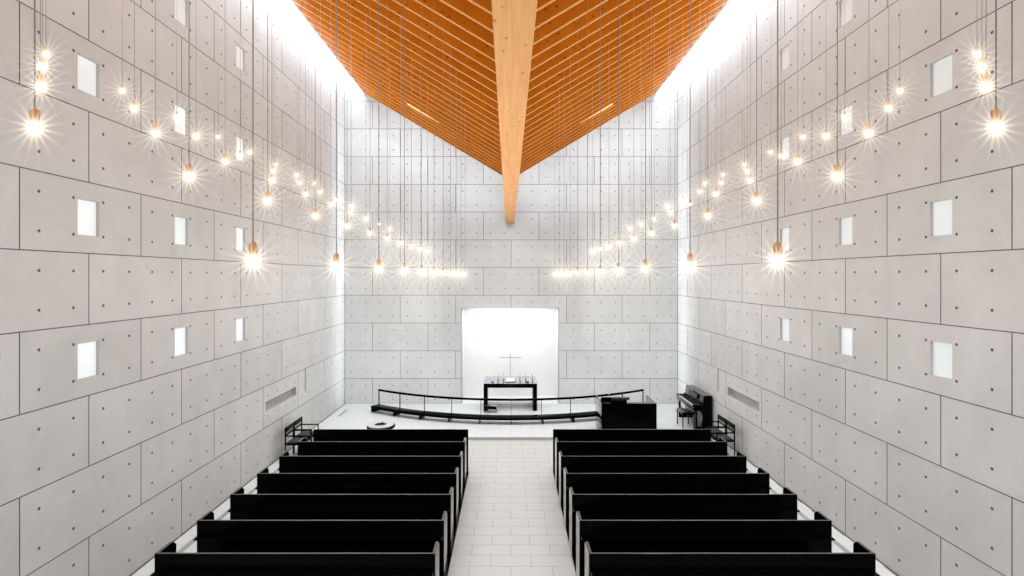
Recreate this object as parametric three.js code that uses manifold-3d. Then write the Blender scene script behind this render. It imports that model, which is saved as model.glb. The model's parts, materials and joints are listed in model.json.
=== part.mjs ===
// Church hall: the nave and chancel end of a modern concrete church, open at a whole wall panel.
// Units are millimetres. +Z is up, +Y runs along the nave to the end wall behind the altar.
// The origin is on the ground, under the middle of the hall's overall box.

import * as THREE from 'three';
import { mergeVertices } from 'three/addons/utils/BufferGeometryUtils.js';
import Module from 'manifold-3d';

const wasm = await Module();
wasm.setup();

// Driving dimensions of the building
const GAP = 0.3;
const OVERCUT = 10;
const HALL = { length: 16000, width: 12020, height: 12000, wall: 400, floor: 200 };
const PLATFORM = { depth: 3755, height: 85 };
const NICHE = { centre: -35, width: 3510, head: 3550, depth: 1200, shell: 200 };
const WINDOW = { width: 365, height: 495, reveal: 45, glass: 24, lap: 20 };
const WINDOW_BAYS = [7000, 9000, 11000, 13000, 15000];
const WINDOW_ROWS = [3500, 5500, 7500, 9500];
const RECESS = { centre: 5000, length: 1760, low: 1380, high: 1615, depth: 120 };

// Driving dimensions of the roof: two slopes rise from a keel beam to glazed side strips
const AXIS_X = -45;
const KEEL = { width: 320, underside: 6585, bearing: 250 };
const ROOF = { valley: 8125, rise: 0.597, halfWidth: 5220, endGap: 140, deck: 120 };
const RAFTER = { width: 65, depth: 400, pitch: 500 };
const KERB_WIDTH = 60;
const ROOFLIGHT = { thickness: 30, bearing: 150, lap: 80 };

// Driving dimensions of the furniture, with places given from the end wall's inner face
const PEW = { rows: 6, firstBack: 7076, pitch: 887, height: 1019, depth: 400, board: 30 };
const PEW_END = { thickness: 40, depth: 372, corner: 67 };
const PEW_SEAT = { height: 410, thickness: 35, clear: 60 };
const PEW_LEDGE = { height: 780, depth: 110, thickness: 20 };
const PEW_SCREEN_BACK = 6189;
const PLINTH = { height: 30, front: 6159, rear: 11660 };
const PEW_BLOCKS = [
  { side: 'left', wallEdge: -4717, aisleEdge: -1046, plinthEdge: -1036 },
  { side: 'right', wallEdge: 4713, aisleEdge: 964, plinthEdge: 966 },
];
const RAIL = { centreX: -10, centre: -5972, radius: 8200, halfAngle: 33.62, height: 725, posts: 11 };
const HANDRAIL = { width: 70, thickness: 58 };
const POST = { width: 42, thickness: 10 };
const ARC_SEGMENTS = 40;
const KNEELER = { height: 222, thickness: 84, depth: 353, plate: 18 };
const ALTAR = { centreX: -32, width: 1828, height: 935, front: 970, depth: 1250, member: 145 };
const CROSS = { height: 940, span: 784, barHeight: 800, section: 18, foot: 160, fromFront: 560 };
const LECTERN = { from: 2574, to: 4160, front: 3700, depth: 1000, height: 950, board: 45 };
const LECTERN_RIM = { depth: 180, thickness: 35 };
const DESK = { to: 3345, near: 170, far: 450, rise: 140, foot: 60 };
const FONT = { x: -3570, fromEnd: 4450, height: 670, sides: 32 };
const BOWL = { radius: 360, depth: 110, underside: 223, belly: 324, bellyHeight: 50, lip: 88 };
const BASIN = { radius: 160, floorRadius: 136, height: 58 };
const STAND = { radius: 130, foot: 247, footThickness: 30, flare: 60, head: 208 };
const PIANO = { back: 5950, depth: 550, caseDepth: 240, from: 1690, length: 1495, height: 1040 };
const PIANO_KEYBED = { low: 600, high: 720, clear: 120, slope: 40, leg: 60 };
const BENCH = { from: -905, to: -500, near: 1238, far: 975, height: 224, seat: 100, leg: 24 };
const STOOL = { from: 5150, to: 5520, near: 2970, far: 2450, height: 500, seat: 70, leg: 32 };
const CHAIR = { width: 500, depth: 480, seat: 430, back: 850, rail: 105, leg: 26, frame: 30, arm: 650 };
const CHAIR_SLAT = { top: 665, height: 35 };
const CHAIR_PAD = { thickness: 40, inset: 20 };
const CHAIR_PLACES = [
  { name: 'armchair_left_1', wallX: -5760, facing: 1, fromEnd: 4610 },
  { name: 'armchair_left_2', wallX: -5760, facing: 1, fromEnd: 5140 },
  { name: 'armchair_right_1', wallX: 5760, facing: -1, fromEnd: 4360 },
  { name: 'armchair_right_2', wallX: 5760, facing: -1, fromEnd: 4890 },
];

// Levels and faces worked out from the driving dimensions
const HALF = HALL.width / 2;
const END_Y = (HALL.length - NICHE.depth - NICHE.shell) / 2;
const OPEN_Y = END_Y - HALL.length;
const NICHE_LEFT = NICHE.centre - NICHE.width / 2;
const NICHE_RIGHT = NICHE.centre + NICHE.width / 2;
const up = (height) => HALL.floor + height;
const fromEnd = (distance) => END_Y - distance;
const PLATFORM_Z = up(PLATFORM.height);
const WALL_TOP = up(HALL.height);

const hall = new THREE.Group();
const shell = new THREE.Group();
const roof = new THREE.Group();
const furniture = new THREE.Group();
hall.add(shell, roof, furniture);

function finish(color, roughness, metalness = 0) {
  return new THREE.MeshStandardMaterial({ color, roughness, metalness });
}

const MATERIAL = {
  concrete: () => finish(0xd2cfcb, 0.85),
  render: () => finish(0xf4f4f2, 0.7),
  tile: () => finish(0xe6e3dd, 0.55),
  timber: () => finish(0xe0a878, 0.55),
  rafter: () => finish(0xb86a2a, 0.6),
  glass: () => finish(0xeef5f6, 0.15),
  lacquer: () => finish(0x0a0a0b, 0.18),
  steel: () => finish(0x3a3a3c, 0.35, 0.9),
  stone: () => finish(0xe4e0d8, 0.5),
  cloth: () => finish(0x2b3040, 0.9),
};

function addPiece(group, name, geometry, material) {
  const mesh = new THREE.Mesh(geometry, material());
  mesh.name = name;
  group.add(mesh);
  return mesh;
}

// A box between low and high limits on each axis
function block([x0, x1], [y0, y1], [z0, z1]) {
  const box = new THREE.BoxGeometry(x1 - x0, y1 - y0, z1 - z0);
  box.translate((x0 + x1) / 2, (y0 + y1) / 2, (z0 + z1) / 2);
  return box;
}

function solidOf(geometry) {
  const bare = geometry.clone();
  bare.deleteAttribute('normal');
  bare.deleteAttribute('uv');
  const merged = mergeVertices(bare, 1e-3);
  const mesh = new wasm.Mesh({
    numProp: 3,
    vertProperties: new Float32Array(merged.attributes.position.array),
    triVerts: new Uint32Array(merged.index.array),
  });
  return new wasm.Manifold(mesh);
}

function geometryOf(solid) {
  const mesh = solid.getMesh();
  const geometry = new THREE.BufferGeometry();
  geometry.setAttribute('position', new THREE.BufferAttribute(mesh.vertProperties, 3));
  geometry.setIndex(new THREE.BufferAttribute(mesh.triVerts, 1));
  geometry.computeVertexNormals();
  return geometry;
}

function fuse(geometries) {
  return geometryOf(geometries.map(solidOf).reduce((whole, part) => whole.add(part)));
}

function cut(geometry, tools) {
  return geometryOf(tools.map(solidOf).reduce((rest, tool) => rest.subtract(tool), solidOf(geometry)));
}

// The span on the X axis between two distances from the middle, on the left (-1) or right (1)
function across(side, near, far) {
  return side < 0 ? [-far, -near] : [near, far];
}

// An upright outline in X and Z, extruded between two places on the Y axis
function extrudeAlongHall(points, y0, y1) {
  const outline = new THREE.Shape(points.map(([x, z]) => new THREE.Vector2(x, z)));
  const solid = new THREE.ExtrudeGeometry(outline, { depth: y1 - y0, bevelEnabled: false });
  solid.rotateX(Math.PI / 2);
  solid.translate(0, y1, 0);
  return solid;
}

// Floor and platform

function buildFloor() {
  const width = [-HALF + GAP, HALF - GAP];
  const slab = block(width, [OPEN_Y, END_Y - GAP], [0, HALL.floor]);
  addPiece(shell, 'nave_floor', slab, MATERIAL.tile);
  const step = block(width, [fromEnd(PLATFORM.depth), END_Y - GAP], [up(GAP), PLATFORM_Z]);
  addPiece(shell, 'chancel_platform', step, MATERIAL.tile);
}

// End wall in three casts round the altar niche, with the niche's own shell behind it

function buildEndWall() {
  const depth = [END_Y, END_Y + HALL.wall];
  const head = up(NICHE.head);
  const left = block([-HALF + GAP, NICHE_LEFT], depth, [0, head]);
  addPiece(shell, 'end_wall_left', left, MATERIAL.concrete);
  const right = block([NICHE_RIGHT, HALF - GAP], depth, [0, head]);
  addPiece(shell, 'end_wall_right', right, MATERIAL.concrete);
  const upper = block([-HALF + GAP, HALF - GAP], depth, [head + GAP, WALL_TOP]);
  const pocket = block(
    [AXIS_X - KEEL.width / 2 - GAP, AXIS_X + KEEL.width / 2 + GAP],
    [END_Y - OVERCUT, END_Y + KEEL.bearing],
    [up(KEEL.underside) - GAP, keelTop() + GAP],
  );
  addPiece(shell, 'end_wall_upper', cut(upper, [pocket]), MATERIAL.concrete);
}

function buildNiche() {
  const sill = block(
    [NICHE_LEFT + GAP, NICHE_RIGHT - GAP],
    [END_Y, END_Y + HALL.wall],
    [0, PLATFORM_Z],
  );
  addPiece(shell, 'niche_sill', sill, MATERIAL.render);
  const body = block(
    [NICHE_LEFT - NICHE.shell, NICHE_RIGHT + NICHE.shell],
    [END_Y + HALL.wall + GAP, END_Y + NICHE.depth + NICHE.shell],
    [0, up(NICHE.head) + NICHE.shell],
  );
  const room = block(
    [NICHE_LEFT, NICHE_RIGHT],
    [END_Y + HALL.wall - OVERCUT, END_Y + NICHE.depth],
    [PLATFORM_Z, up(NICHE.head)],
  );
  addPiece(shell, 'niche_shell', cut(body, [room]), MATERIAL.render);
}

// Side walls with their windows cut through, a long recess, and one sheet of glass a window row

function windowOpening(side, bay, row) {
  return block(
    across(side, HALF - OVERCUT, HALF + HALL.wall + OVERCUT),
    [fromEnd(bay) - WINDOW.width / 2, fromEnd(bay) + WINDOW.width / 2],
    [up(row) - WINDOW.height / 2, up(row) + WINDOW.height / 2],
  );
}

function glassSheet(side, row, clearance) {
  const near = HALF + WINDOW.reveal - clearance;
  const edge = WINDOW.lap + clearance;
  const firstBay = WINDOW_BAYS[0];
  const lastBay = WINDOW_BAYS[WINDOW_BAYS.length - 1];
  return block(
    across(side, near, HALF + WINDOW.reveal + WINDOW.glass + clearance),
    [fromEnd(lastBay) - WINDOW.width / 2 - edge, fromEnd(firstBay) + WINDOW.width / 2 + edge],
    [up(row) - WINDOW.height / 2 - edge, up(row) + WINDOW.height / 2 + edge],
  );
}

function buildSideWall(side, label) {
  const body = block(
    across(side, HALF, HALF + HALL.wall),
    [OPEN_Y, END_Y + HALL.wall],
    [0, WALL_TOP],
  );
  const tools = [];
  for (const row of WINDOW_ROWS) {
    for (const bay of WINDOW_BAYS) {
      tools.push(windowOpening(side, bay, row));
    }
    tools.push(glassSheet(side, row, GAP));
  }
  tools.push(block(
    across(side, HALF - OVERCUT, HALF + RECESS.depth),
    [fromEnd(RECESS.centre) - RECESS.length / 2, fromEnd(RECESS.centre) + RECESS.length / 2],
    [up(RECESS.low), up(RECESS.high)],
  ));
  addPiece(shell, `side_wall_${label}`, cut(body, tools), MATERIAL.concrete);
  WINDOW_ROWS.forEach((row, index) => {
    const name = `window_glass_${label}_${index + 1}`;
    addPiece(shell, name, glassSheet(side, row, 0), MATERIAL.glass);
  });
}

// Roof: keel beam, two slopes of deck and rafters, upstand kerbs and the glass strips round them

function rafterUnderside(distance) {
  return up(ROOF.valley) + ROOF.rise * distance;
}

function keelTop() {
  return rafterUnderside(KEEL.width / 2) + RAFTER.depth + ROOF.deck;
}

// A strip of one slope between two heights above the rafters' underside
function slopeStrip(side, low, high, y0, y1) {
  const inner = KEEL.width / 2 + GAP;
  const outer = ROOF.halfWidth;
  const points = [
    [AXIS_X + side * inner, rafterUnderside(inner) + low],
    [AXIS_X + side * outer, rafterUnderside(outer) + low],
    [AXIS_X + side * outer, rafterUnderside(outer) + high],
    [AXIS_X + side * inner, rafterUnderside(inner) + high],
  ];
  return extrudeAlongHall(points, y0, y1);
}

function buildKeel() {
  const keel = block(
    [AXIS_X - KEEL.width / 2, AXIS_X + KEEL.width / 2],
    [OPEN_Y, END_Y + KEEL.bearing - GAP],
    [up(KEEL.underside), keelTop()],
  );
  addPiece(roof, 'keel_beam', keel, MATERIAL.timber);
}

// The span on the X axis between two distances from the keel's middle plane
function slopeSpan(side, near, far) {
  const [low, high] = across(side, near, far);
  return [AXIS_X + low, AXIS_X + high];
}

function buildSlope(side, label) {
  const deckTop = RAFTER.depth + ROOF.deck;
  const parts = [slopeStrip(side, RAFTER.depth, deckTop, OPEN_Y, fromEnd(ROOF.endGap))];
  const first = ROOF.endGap + RAFTER.width / 2;
  for (let place = first; place < HALL.length; place += RAFTER.pitch) {
    const low = fromEnd(place) - RAFTER.width / 2;
    parts.push(slopeStrip(side, 0, RAFTER.depth + OVERCUT, low, low + RAFTER.width));
  }
  addPiece(roof, `roof_slope_${label}`, fuse(parts), MATERIAL.rafter);

  const kerbNear = ROOF.halfWidth + GAP;
  const kerb = block(
    slopeSpan(side, kerbNear, kerbNear + KERB_WIDTH),
    [OPEN_Y, END_Y - GAP],
    [rafterUnderside(ROOF.halfWidth), WALL_TOP],
  );
  addPiece(roof, `roof_kerb_${label}`, kerb, MATERIAL.timber);

  const glassEdge = side * (HALF + ROOFLIGHT.bearing);
  const glassNear = AXIS_X + side * kerbNear;
  const strip = block(
    [Math.min(glassNear, glassEdge), Math.max(glassNear, glassEdge)],
    [OPEN_Y, END_Y + ROOFLIGHT.bearing],
    [WALL_TOP + GAP, WALL_TOP + GAP + ROOFLIGHT.thickness],
  );
  addPiece(roof, `rooflight_${label}`, strip, MATERIAL.glass);

  const low = deckTop + GAP;
  const endStrip = slopeStrip(
    side,
    low,
    low + ROOFLIGHT.thickness,
    fromEnd(ROOF.endGap + ROOFLIGHT.lap),
    END_Y - GAP,
  );
  addPiece(roof, `rooflight_end_${label}`, endStrip, MATERIAL.glass);
}

// Pews on a low plinth: back board, seat, book ledge and two end panels, repeated row by row

function pewEnd(x) {
  const full = PEW.height - PEW_END.corner;
  const outline = new THREE.Shape([
    new THREE.Vector2(0, 0),
    new THREE.Vector2(PEW_END.depth, 0),
    new THREE.Vector2(PEW_END.depth, full),
    new THREE.Vector2(PEW_END.depth - PEW_END.corner, PEW.height),
    new THREE.Vector2(0, PEW.height),
  ]);
  const panel = new THREE.ExtrudeGeometry(outline, { depth: PEW_END.thickness, bevelEnabled: false });
  panel.rotateX(Math.PI / 2);
  panel.rotateZ(Math.PI / 2);
  panel.translate(x, 0, 0);
  return panel;
}

function bookLedge(span) {
  const levels = [PEW_LEDGE.height, PEW_LEDGE.height + PEW_LEDGE.thickness];
  return block(span, [-PEW_LEDGE.depth, PEW.board / 2], levels);
}

function pewGeometry(length) {
  const half = length / 2;
  const inner = [-half + PEW_END.thickness / 2, half - PEW_END.thickness / 2];
  const back = block(inner, [0, PEW.board], [PEW_SEAT.clear, PEW.height]);
  const seat = block(
    inner,
    [PEW.board / 2, PEW.depth - PEW.board],
    [PEW_SEAT.height - PEW_SEAT.thickness, PEW_SEAT.height],
  );
  return fuse([back, seat, bookLedge(inner), pewEnd(-half), pewEnd(half - PEW_END.thickness)]);
}

// Board with a book ledge in front of the first pew
function screenGeometry(length) {
  const half = length / 2;
  const board = block([-half, half], [0, PEW.board], [0, PEW.height]);
  return fuse([board, bookLedge([-half + PEW_END.thickness, half - PEW_END.thickness])]);
}

function buildPews() {
  const level = up(PLINTH.height + GAP);
  for (const { side, wallEdge, aisleEdge, plinthEdge } of PEW_BLOCKS) {
    const middle = (wallEdge + aisleEdge) / 2;
    const length = Math.abs(aisleEdge - wallEdge);
    const plinth = block(
      [Math.min(wallEdge, plinthEdge), Math.max(wallEdge, plinthEdge)],
      [fromEnd(PLINTH.rear), fromEnd(PLINTH.front)],
      [up(GAP), up(PLINTH.height)],
    );
    addPiece(furniture, `pew_plinth_${side}`, plinth, MATERIAL.lacquer);
    const screen = addPiece(furniture, `pew_screen_${side}`, screenGeometry(length), MATERIAL.lacquer);
    screen.position.set(middle, fromEnd(PEW_SCREEN_BACK), level);
    const geometry = pewGeometry(length);
    for (let row = 0; row < PEW.rows; row += 1) {
      const pew = addPiece(furniture, `pew_${side}_${row + 1}`, geometry.clone(), MATERIAL.lacquer);
      pew.position.set(middle, fromEnd(PEW.firstBack + row * PEW.pitch), level);
    }
  }
}

// Communion rail and kneeler, both bent round one centre behind the end wall

const RAIL_Y = fromEnd(RAIL.centre);
const RAIL_SPAN = THREE.MathUtils.degToRad(RAIL.halfAngle);

function ringSector(inner, outer, low, high) {
  const outline = new THREE.Shape();
  const start = -Math.PI / 2 - RAIL_SPAN;
  const end = -Math.PI / 2 + RAIL_SPAN;
  outline.absarc(0, 0, outer, start, end, false);
  outline.absarc(0, 0, inner, end, start, true);
  const settings = { depth: high - low, bevelEnabled: false, curveSegments: ARC_SEGMENTS };
  const sector = new THREE.ExtrudeGeometry(outline, settings);
  sector.translate(RAIL.centreX, RAIL_Y, low);
  return sector;
}

// Turns a shape made along -Y at the rail's centre to one post's place on the arc
function toPost(geometry, index) {
  const angle = -RAIL_SPAN + (2 * RAIL_SPAN * index) / (RAIL.posts - 1);
  geometry.rotateZ(angle);
  geometry.translate(RAIL.centreX, RAIL_Y, 0);
  return geometry;
}

function buildRail() {
  const top = PLATFORM_Z + RAIL.height;
  const half = HANDRAIL.width / 2;
  const parts = [ringSector(RAIL.radius - half, RAIL.radius + half, top - HANDRAIL.thickness, top)];
  const foot = PLATFORM_Z + GAP;
  const reach = top - HANDRAIL.thickness / 2 - foot;
  const inset = POST.thickness / 2 / RAIL.radius;
  for (let index = 0; index < RAIL.posts; index += 1) {
    const post = block(
      [-POST.thickness / 2, POST.thickness / 2],
      [-RAIL.radius - POST.width / 2, -RAIL.radius + POST.width / 2],
      [foot, foot + reach],
    );
    if (index === 0) post.rotateZ(inset);
    if (index === RAIL.posts - 1) post.rotateZ(-inset);
    parts.push(toPost(post, index));
  }
  addPiece(furniture, 'communion_rail', fuse(parts), MATERIAL.steel);
}

function buildKneeler() {
  const top = PLATFORM_Z + KNEELER.height;
  const near = RAIL.radius + POST.width / 2 + GAP;
  const far = RAIL.radius + KNEELER.depth;
  const parts = [ringSector(near, far, top - KNEELER.thickness, top)];
  for (let index = 0; index < RAIL.posts; index += 1) {
    const last = index === RAIL.posts - 1;
    const low = index === 0 ? 0 : -KNEELER.plate / 2 - (last ? KNEELER.plate / 2 : 0);
    const plate = block(
      [low, low + KNEELER.plate],
      [-far + OVERCUT, -near - OVERCUT],
      [PLATFORM_Z + GAP, top - KNEELER.thickness / 2],
    );
    parts.push(toPost(plate, index));
  }
  addPiece(furniture, 'kneeler', fuse(parts), MATERIAL.lacquer);
}

// Altar table with its cross

function buildAltar() {
  const left = ALTAR.centreX - ALTAR.width / 2;
  const right = ALTAR.centreX + ALTAR.width / 2;
  const foot = PLATFORM_Z + GAP;
  const top = PLATFORM_Z + ALTAR.height;
  const frame = [
    [left, foot],
    [left + ALTAR.member, foot],
    [left + ALTAR.member, top - ALTAR.member],
    [right - ALTAR.member, top - ALTAR.member],
    [right - ALTAR.member, foot],
    [right, foot],
    [right, top],
    [left, top],
  ];
  const front = fromEnd(ALTAR.front);
  const table = extrudeAlongHall(frame, front, front + ALTAR.depth);
  addPiece(furniture, 'altar_table', table, MATERIAL.lacquer);

  const half = CROSS.section / 2;
  const base = top + GAP;
  const y = front + CROSS.fromFront;
  const span = (width) => [ALTAR.centreX - width / 2, ALTAR.centreX + width / 2];
  const upright = block(span(CROSS.section), [y - half, y + half], [base, base + CROSS.height]);
  const bar = block(
    span(CROSS.span),
    [y - half, y + half],
    [base + CROSS.barHeight - half, base + CROSS.barHeight + half],
  );
  const footPlate = block(
    span(CROSS.foot),
    [y - CROSS.foot / 2, y + CROSS.foot / 2],
    [base, base + CROSS.section],
  );
  addPiece(furniture, 'altar_cross', fuse([footPlate, upright, bar]), MATERIAL.steel);
}

// Lectern: a front with a deep rim and two sides round the speaker's place, with a sloping desk

function buildLectern() {
  const near = fromEnd(LECTERN.front);
  const far = near + LECTERN.depth;
  const top = PLATFORM_Z + LECTERN.height;
  const heights = [PLATFORM_Z + GAP, top];
  const front = block([LECTERN.from, LECTERN.to], [near, near + LECTERN.board], heights);
  const left = block([LECTERN.from, LECTERN.from + LECTERN.board], [near, far], heights);
  const right = block([LECTERN.to - LECTERN.board, LECTERN.to], [near, far], heights);
  const rim = block(
    [LECTERN.from, LECTERN.to],
    [near, near + LECTERN_RIM.depth],
    [top - LECTERN_RIM.thickness, top],
  );
  const wedge = new THREE.Shape([
    new THREE.Vector2(near + DESK.near, top - DESK.foot),
    new THREE.Vector2(near + DESK.far, top - DESK.foot),
    new THREE.Vector2(near + DESK.far, top - DESK.foot / 2),
    new THREE.Vector2(near + DESK.near, top + DESK.rise),
  ]);
  const from = LECTERN.from + LECTERN.board / 2;
  const desk = new THREE.ExtrudeGeometry(wedge, { depth: DESK.to - from, bevelEnabled: false });
  desk.rotateX(Math.PI / 2);
  desk.rotateZ(Math.PI / 2);
  desk.translate(from, 0, 0);
  addPiece(furniture, 'lectern', fuse([front, left, right, rim, desk]), MATERIAL.lacquer);
}

// Font: a round stone bowl on a dark stand

function lathe(points, z) {
  const profile = points.map(([radius, height]) => new THREE.Vector2(radius, height));
  const solid = new THREE.LatheGeometry(profile, FONT.sides);
  solid.rotateX(Math.PI / 2);
  solid.translate(FONT.x, fromEnd(FONT.fromEnd), z);
  return solid;
}

function buildFont() {
  const under = FONT.height - BOWL.depth;
  const bowl = lathe([
    [0, GAP],
    [BOWL.underside, GAP],
    [BOWL.belly, BOWL.bellyHeight],
    [BOWL.radius, BOWL.lip],
    [BOWL.radius, BOWL.depth],
    [BASIN.radius, BOWL.depth],
    [BASIN.floorRadius, BASIN.height],
    [0, BASIN.height],
  ], up(under));
  addPiece(furniture, 'font_bowl', bowl, MATERIAL.stone);
  const stand = lathe([
    [0, GAP],
    [STAND.foot, GAP],
    [STAND.foot, STAND.footThickness],
    [STAND.radius, STAND.flare],
    [STAND.radius, under - STAND.flare],
    [STAND.head, under],
    [0, under],
  ], up(0));
  addPiece(furniture, 'font_stand', stand, MATERIAL.steel);
}

// Piano and its stool beside the right-hand wall, and the low bench in front of the altar

function buildPiano() {
  const y = fromEnd(PIANO.from + PIANO.length);
  const caseFront = PIANO.back - PIANO.caseDepth;
  const keyFront = PIANO.back - PIANO.depth;
  const at = (height) => PLATFORM_Z + height;
  const side = [
    [PIANO.back, at(PIANO_KEYBED.clear)],
    [PIANO.back, at(PIANO.height)],
    [caseFront, at(PIANO.height)],
    [caseFront - PIANO_KEYBED.slope, at(PIANO_KEYBED.high)],
    [keyFront, at(PIANO_KEYBED.high)],
    [keyFront, at(PIANO_KEYBED.low)],
    [caseFront - PIANO_KEYBED.slope, at(PIANO_KEYBED.low)],
    [caseFront - PIANO_KEYBED.slope, at(PIANO_KEYBED.clear)],
  ];
  const parts = [extrudeAlongHall(side, y, y + PIANO.length)];
  const legWidth = PIANO_KEYBED.leg;
  for (const low of [y, y + PIANO.length - legWidth]) {
    parts.push(block(
      [keyFront + legWidth, PIANO.back - legWidth],
      [low, low + legWidth],
      [at(GAP), at(PIANO_KEYBED.clear + OVERCUT)],
    ));
    parts.push(block(
      [keyFront + legWidth, keyFront + 2 * legWidth],
      [low, low + legWidth],
      [at(PIANO_KEYBED.clear), at(PIANO_KEYBED.low + OVERCUT)],
    ));
  }
  addPiece(furniture, 'piano', fuse(parts), MATERIAL.lacquer);
}

// Four legs under the corners of a seat
function legsUnder([x0, x1], [y0, y1], leg, low, high) {
  const places = [];
  for (const x of [x0, x1 - leg]) {
    for (const y of [y0, y1 - leg]) {
      places.push(block([x, x + leg], [y, y + leg], [low, high]));
    }
  }
  return places;
}

function buildSeat(name, { from, to, near, far, height, seat, leg }) {
  const width = [from, to];
  const depth = [fromEnd(near), fromEnd(far)];
  const top = PLATFORM_Z + height;
  const board = block(width, depth, [top - seat, top]);
  const legs = legsUnder(width, depth, leg, PLATFORM_Z + GAP, top - seat / 2);
  addPiece(furniture, name, fuse([board, ...legs]), MATERIAL.lacquer);
}

// Chairs stand on the nave floor with their backs to the side walls

function buildChair({ name, wallX, facing, fromEnd: place }) {
  const front = wallX + facing * CHAIR.depth;
  const width = [Math.min(wallX, front), Math.max(wallX, front)];
  const y = fromEnd(place);
  const depth = [y - CHAIR.width / 2, y + CHAIR.width / 2];
  const low = up(GAP);
  const seatTop = up(CHAIR.seat);
  const rear = wallX + facing * CHAIR.frame;
  const backSpan = [Math.min(wallX, rear), Math.max(wallX, rear)];
  const parts = [
    block(width, depth, [seatTop - CHAIR.frame, seatTop]),
    ...legsUnder(width, depth, CHAIR.leg, low, seatTop - CHAIR.frame / 2),
    block(backSpan, depth, [up(CHAIR.back - CHAIR.rail), up(CHAIR.back)]),
    block(backSpan, depth, [up(CHAIR_SLAT.top - CHAIR_SLAT.height), up(CHAIR_SLAT.top)]),
    block(backSpan, [depth[0], depth[0] + CHAIR.leg], [seatTop - OVERCUT, up(CHAIR.back)]),
    block(backSpan, [depth[1] - CHAIR.leg, depth[1]], [seatTop - OVERCUT, up(CHAIR.back)]),
  ];
  const post = front - facing * CHAIR.leg;
  const postSpan = [Math.min(post, front), Math.max(post, front)];
  for (const edge of [depth[0], depth[1] - CHAIR.leg]) {
    const arm = [edge, edge + CHAIR.leg];
    parts.push(block(width, arm, [up(CHAIR.arm - CHAIR.frame), up(CHAIR.arm)]));
    parts.push(block(postSpan, arm, [seatTop - OVERCUT, up(CHAIR.arm) - OVERCUT]));
  }
  addPiece(furniture, name, fuse(parts), MATERIAL.lacquer);
  const padFront = front - facing * (CHAIR_PAD.inset + CHAIR.leg);
  const padRear = rear + facing * GAP;
  const padEdge = CHAIR.leg + GAP;
  const pad = block(
    [Math.min(padRear, padFront), Math.max(padRear, padFront)],
    [depth[0] + padEdge, depth[1] - padEdge],
    [seatTop + GAP, seatTop + CHAIR_PAD.thickness],
  );
  addPiece(furniture, `${name}_pad`, pad, MATERIAL.cloth);
}

buildFloor();
buildEndWall();
buildNiche();
buildSideWall(-1, 'left');
buildSideWall(1, 'right');
buildKeel();
buildSlope(-1, 'left');
buildSlope(1, 'right');
buildPews();
buildRail();
buildKneeler();
buildAltar();
buildLectern();
buildFont();
buildPiano();
buildSeat('piano_stool', STOOL);
buildSeat('altar_bench', BENCH);
CHAIR_PLACES.forEach(buildChair);

export default hall;
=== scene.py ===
"""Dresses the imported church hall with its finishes, fittings, lamps and furniture details.

Every length is in metres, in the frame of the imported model: +Z up, +Y towards the end wall.
"""

import json
import logging
import math
import random
from collections.abc import Callable, Iterable, Sequence
from dataclasses import dataclass
from enum import Enum

import bmesh
import bpy
from mathutils import Matrix, Vector

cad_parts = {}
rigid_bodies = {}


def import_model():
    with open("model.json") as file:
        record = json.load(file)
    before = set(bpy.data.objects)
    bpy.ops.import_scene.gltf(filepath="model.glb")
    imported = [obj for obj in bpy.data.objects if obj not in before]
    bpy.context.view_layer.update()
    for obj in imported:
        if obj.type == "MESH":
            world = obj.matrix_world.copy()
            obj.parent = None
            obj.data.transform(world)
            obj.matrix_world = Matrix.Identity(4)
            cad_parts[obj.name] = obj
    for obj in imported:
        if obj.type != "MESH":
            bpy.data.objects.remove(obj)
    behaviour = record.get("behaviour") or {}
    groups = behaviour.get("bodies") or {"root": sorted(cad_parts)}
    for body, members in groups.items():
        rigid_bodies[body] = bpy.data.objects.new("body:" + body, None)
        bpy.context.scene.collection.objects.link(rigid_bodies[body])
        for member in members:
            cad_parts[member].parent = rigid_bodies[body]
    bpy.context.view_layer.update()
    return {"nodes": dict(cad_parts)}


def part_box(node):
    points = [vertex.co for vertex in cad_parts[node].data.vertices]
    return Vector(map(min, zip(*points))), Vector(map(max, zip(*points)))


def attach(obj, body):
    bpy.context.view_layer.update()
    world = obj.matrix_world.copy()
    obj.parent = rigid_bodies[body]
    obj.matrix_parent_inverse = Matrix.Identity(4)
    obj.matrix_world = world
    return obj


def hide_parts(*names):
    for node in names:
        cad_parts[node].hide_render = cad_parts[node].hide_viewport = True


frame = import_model()
LOG = logging.getLogger("church_hall")

Pair = tuple[float, float]
Point = tuple[float, float, float]
Colour = Point
Edges = tuple[float, float, float, float]

FLOOR_Z = 0.2
PLATFORM_Z = 0.285
WALL_TOP_Z = 12.2
HALF_WIDTH = 6.01
WALL = 0.4
END_Y = 7.3
OPEN_Y = -8.7
MIDDLE_Y = (OPEN_Y + END_Y) / 2
AXIS_X = -0.045
ROOF_VALLEY_Z = 8.325
ROOF_RISE = 0.597
ROOF_HALF = 5.22
RAFTER_DEPTH = 0.4
DECK = 0.12
NICHE_X = (-1.79, 1.72)
NICHE_WALL = 0.2
NICHE_TOP_Z = 3.75
NICHE_BACK_Y = 8.5
ALTAR_TOP_Z = PLATFORM_Z + 0.935
WINDOW_HALF = (0.365 / 2, 0.495 / 2)
RECESS: Edges = (-5.88, -4.12, 1.38, 1.615)
CORNER_GAP = 0.008
# Tone that marks the panels' rims in joints and tie holes, which get painted shade.
PAINTED_SHADE_TONE = -1.0
UP: Point = (0, 0, 1)
DOWN: Point = (0, 0, -1)
DAYLIGHT: Colour = (0.88, 0.97, 1.07)
WARM: Colour = (1.0, 0.985, 0.96)


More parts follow.
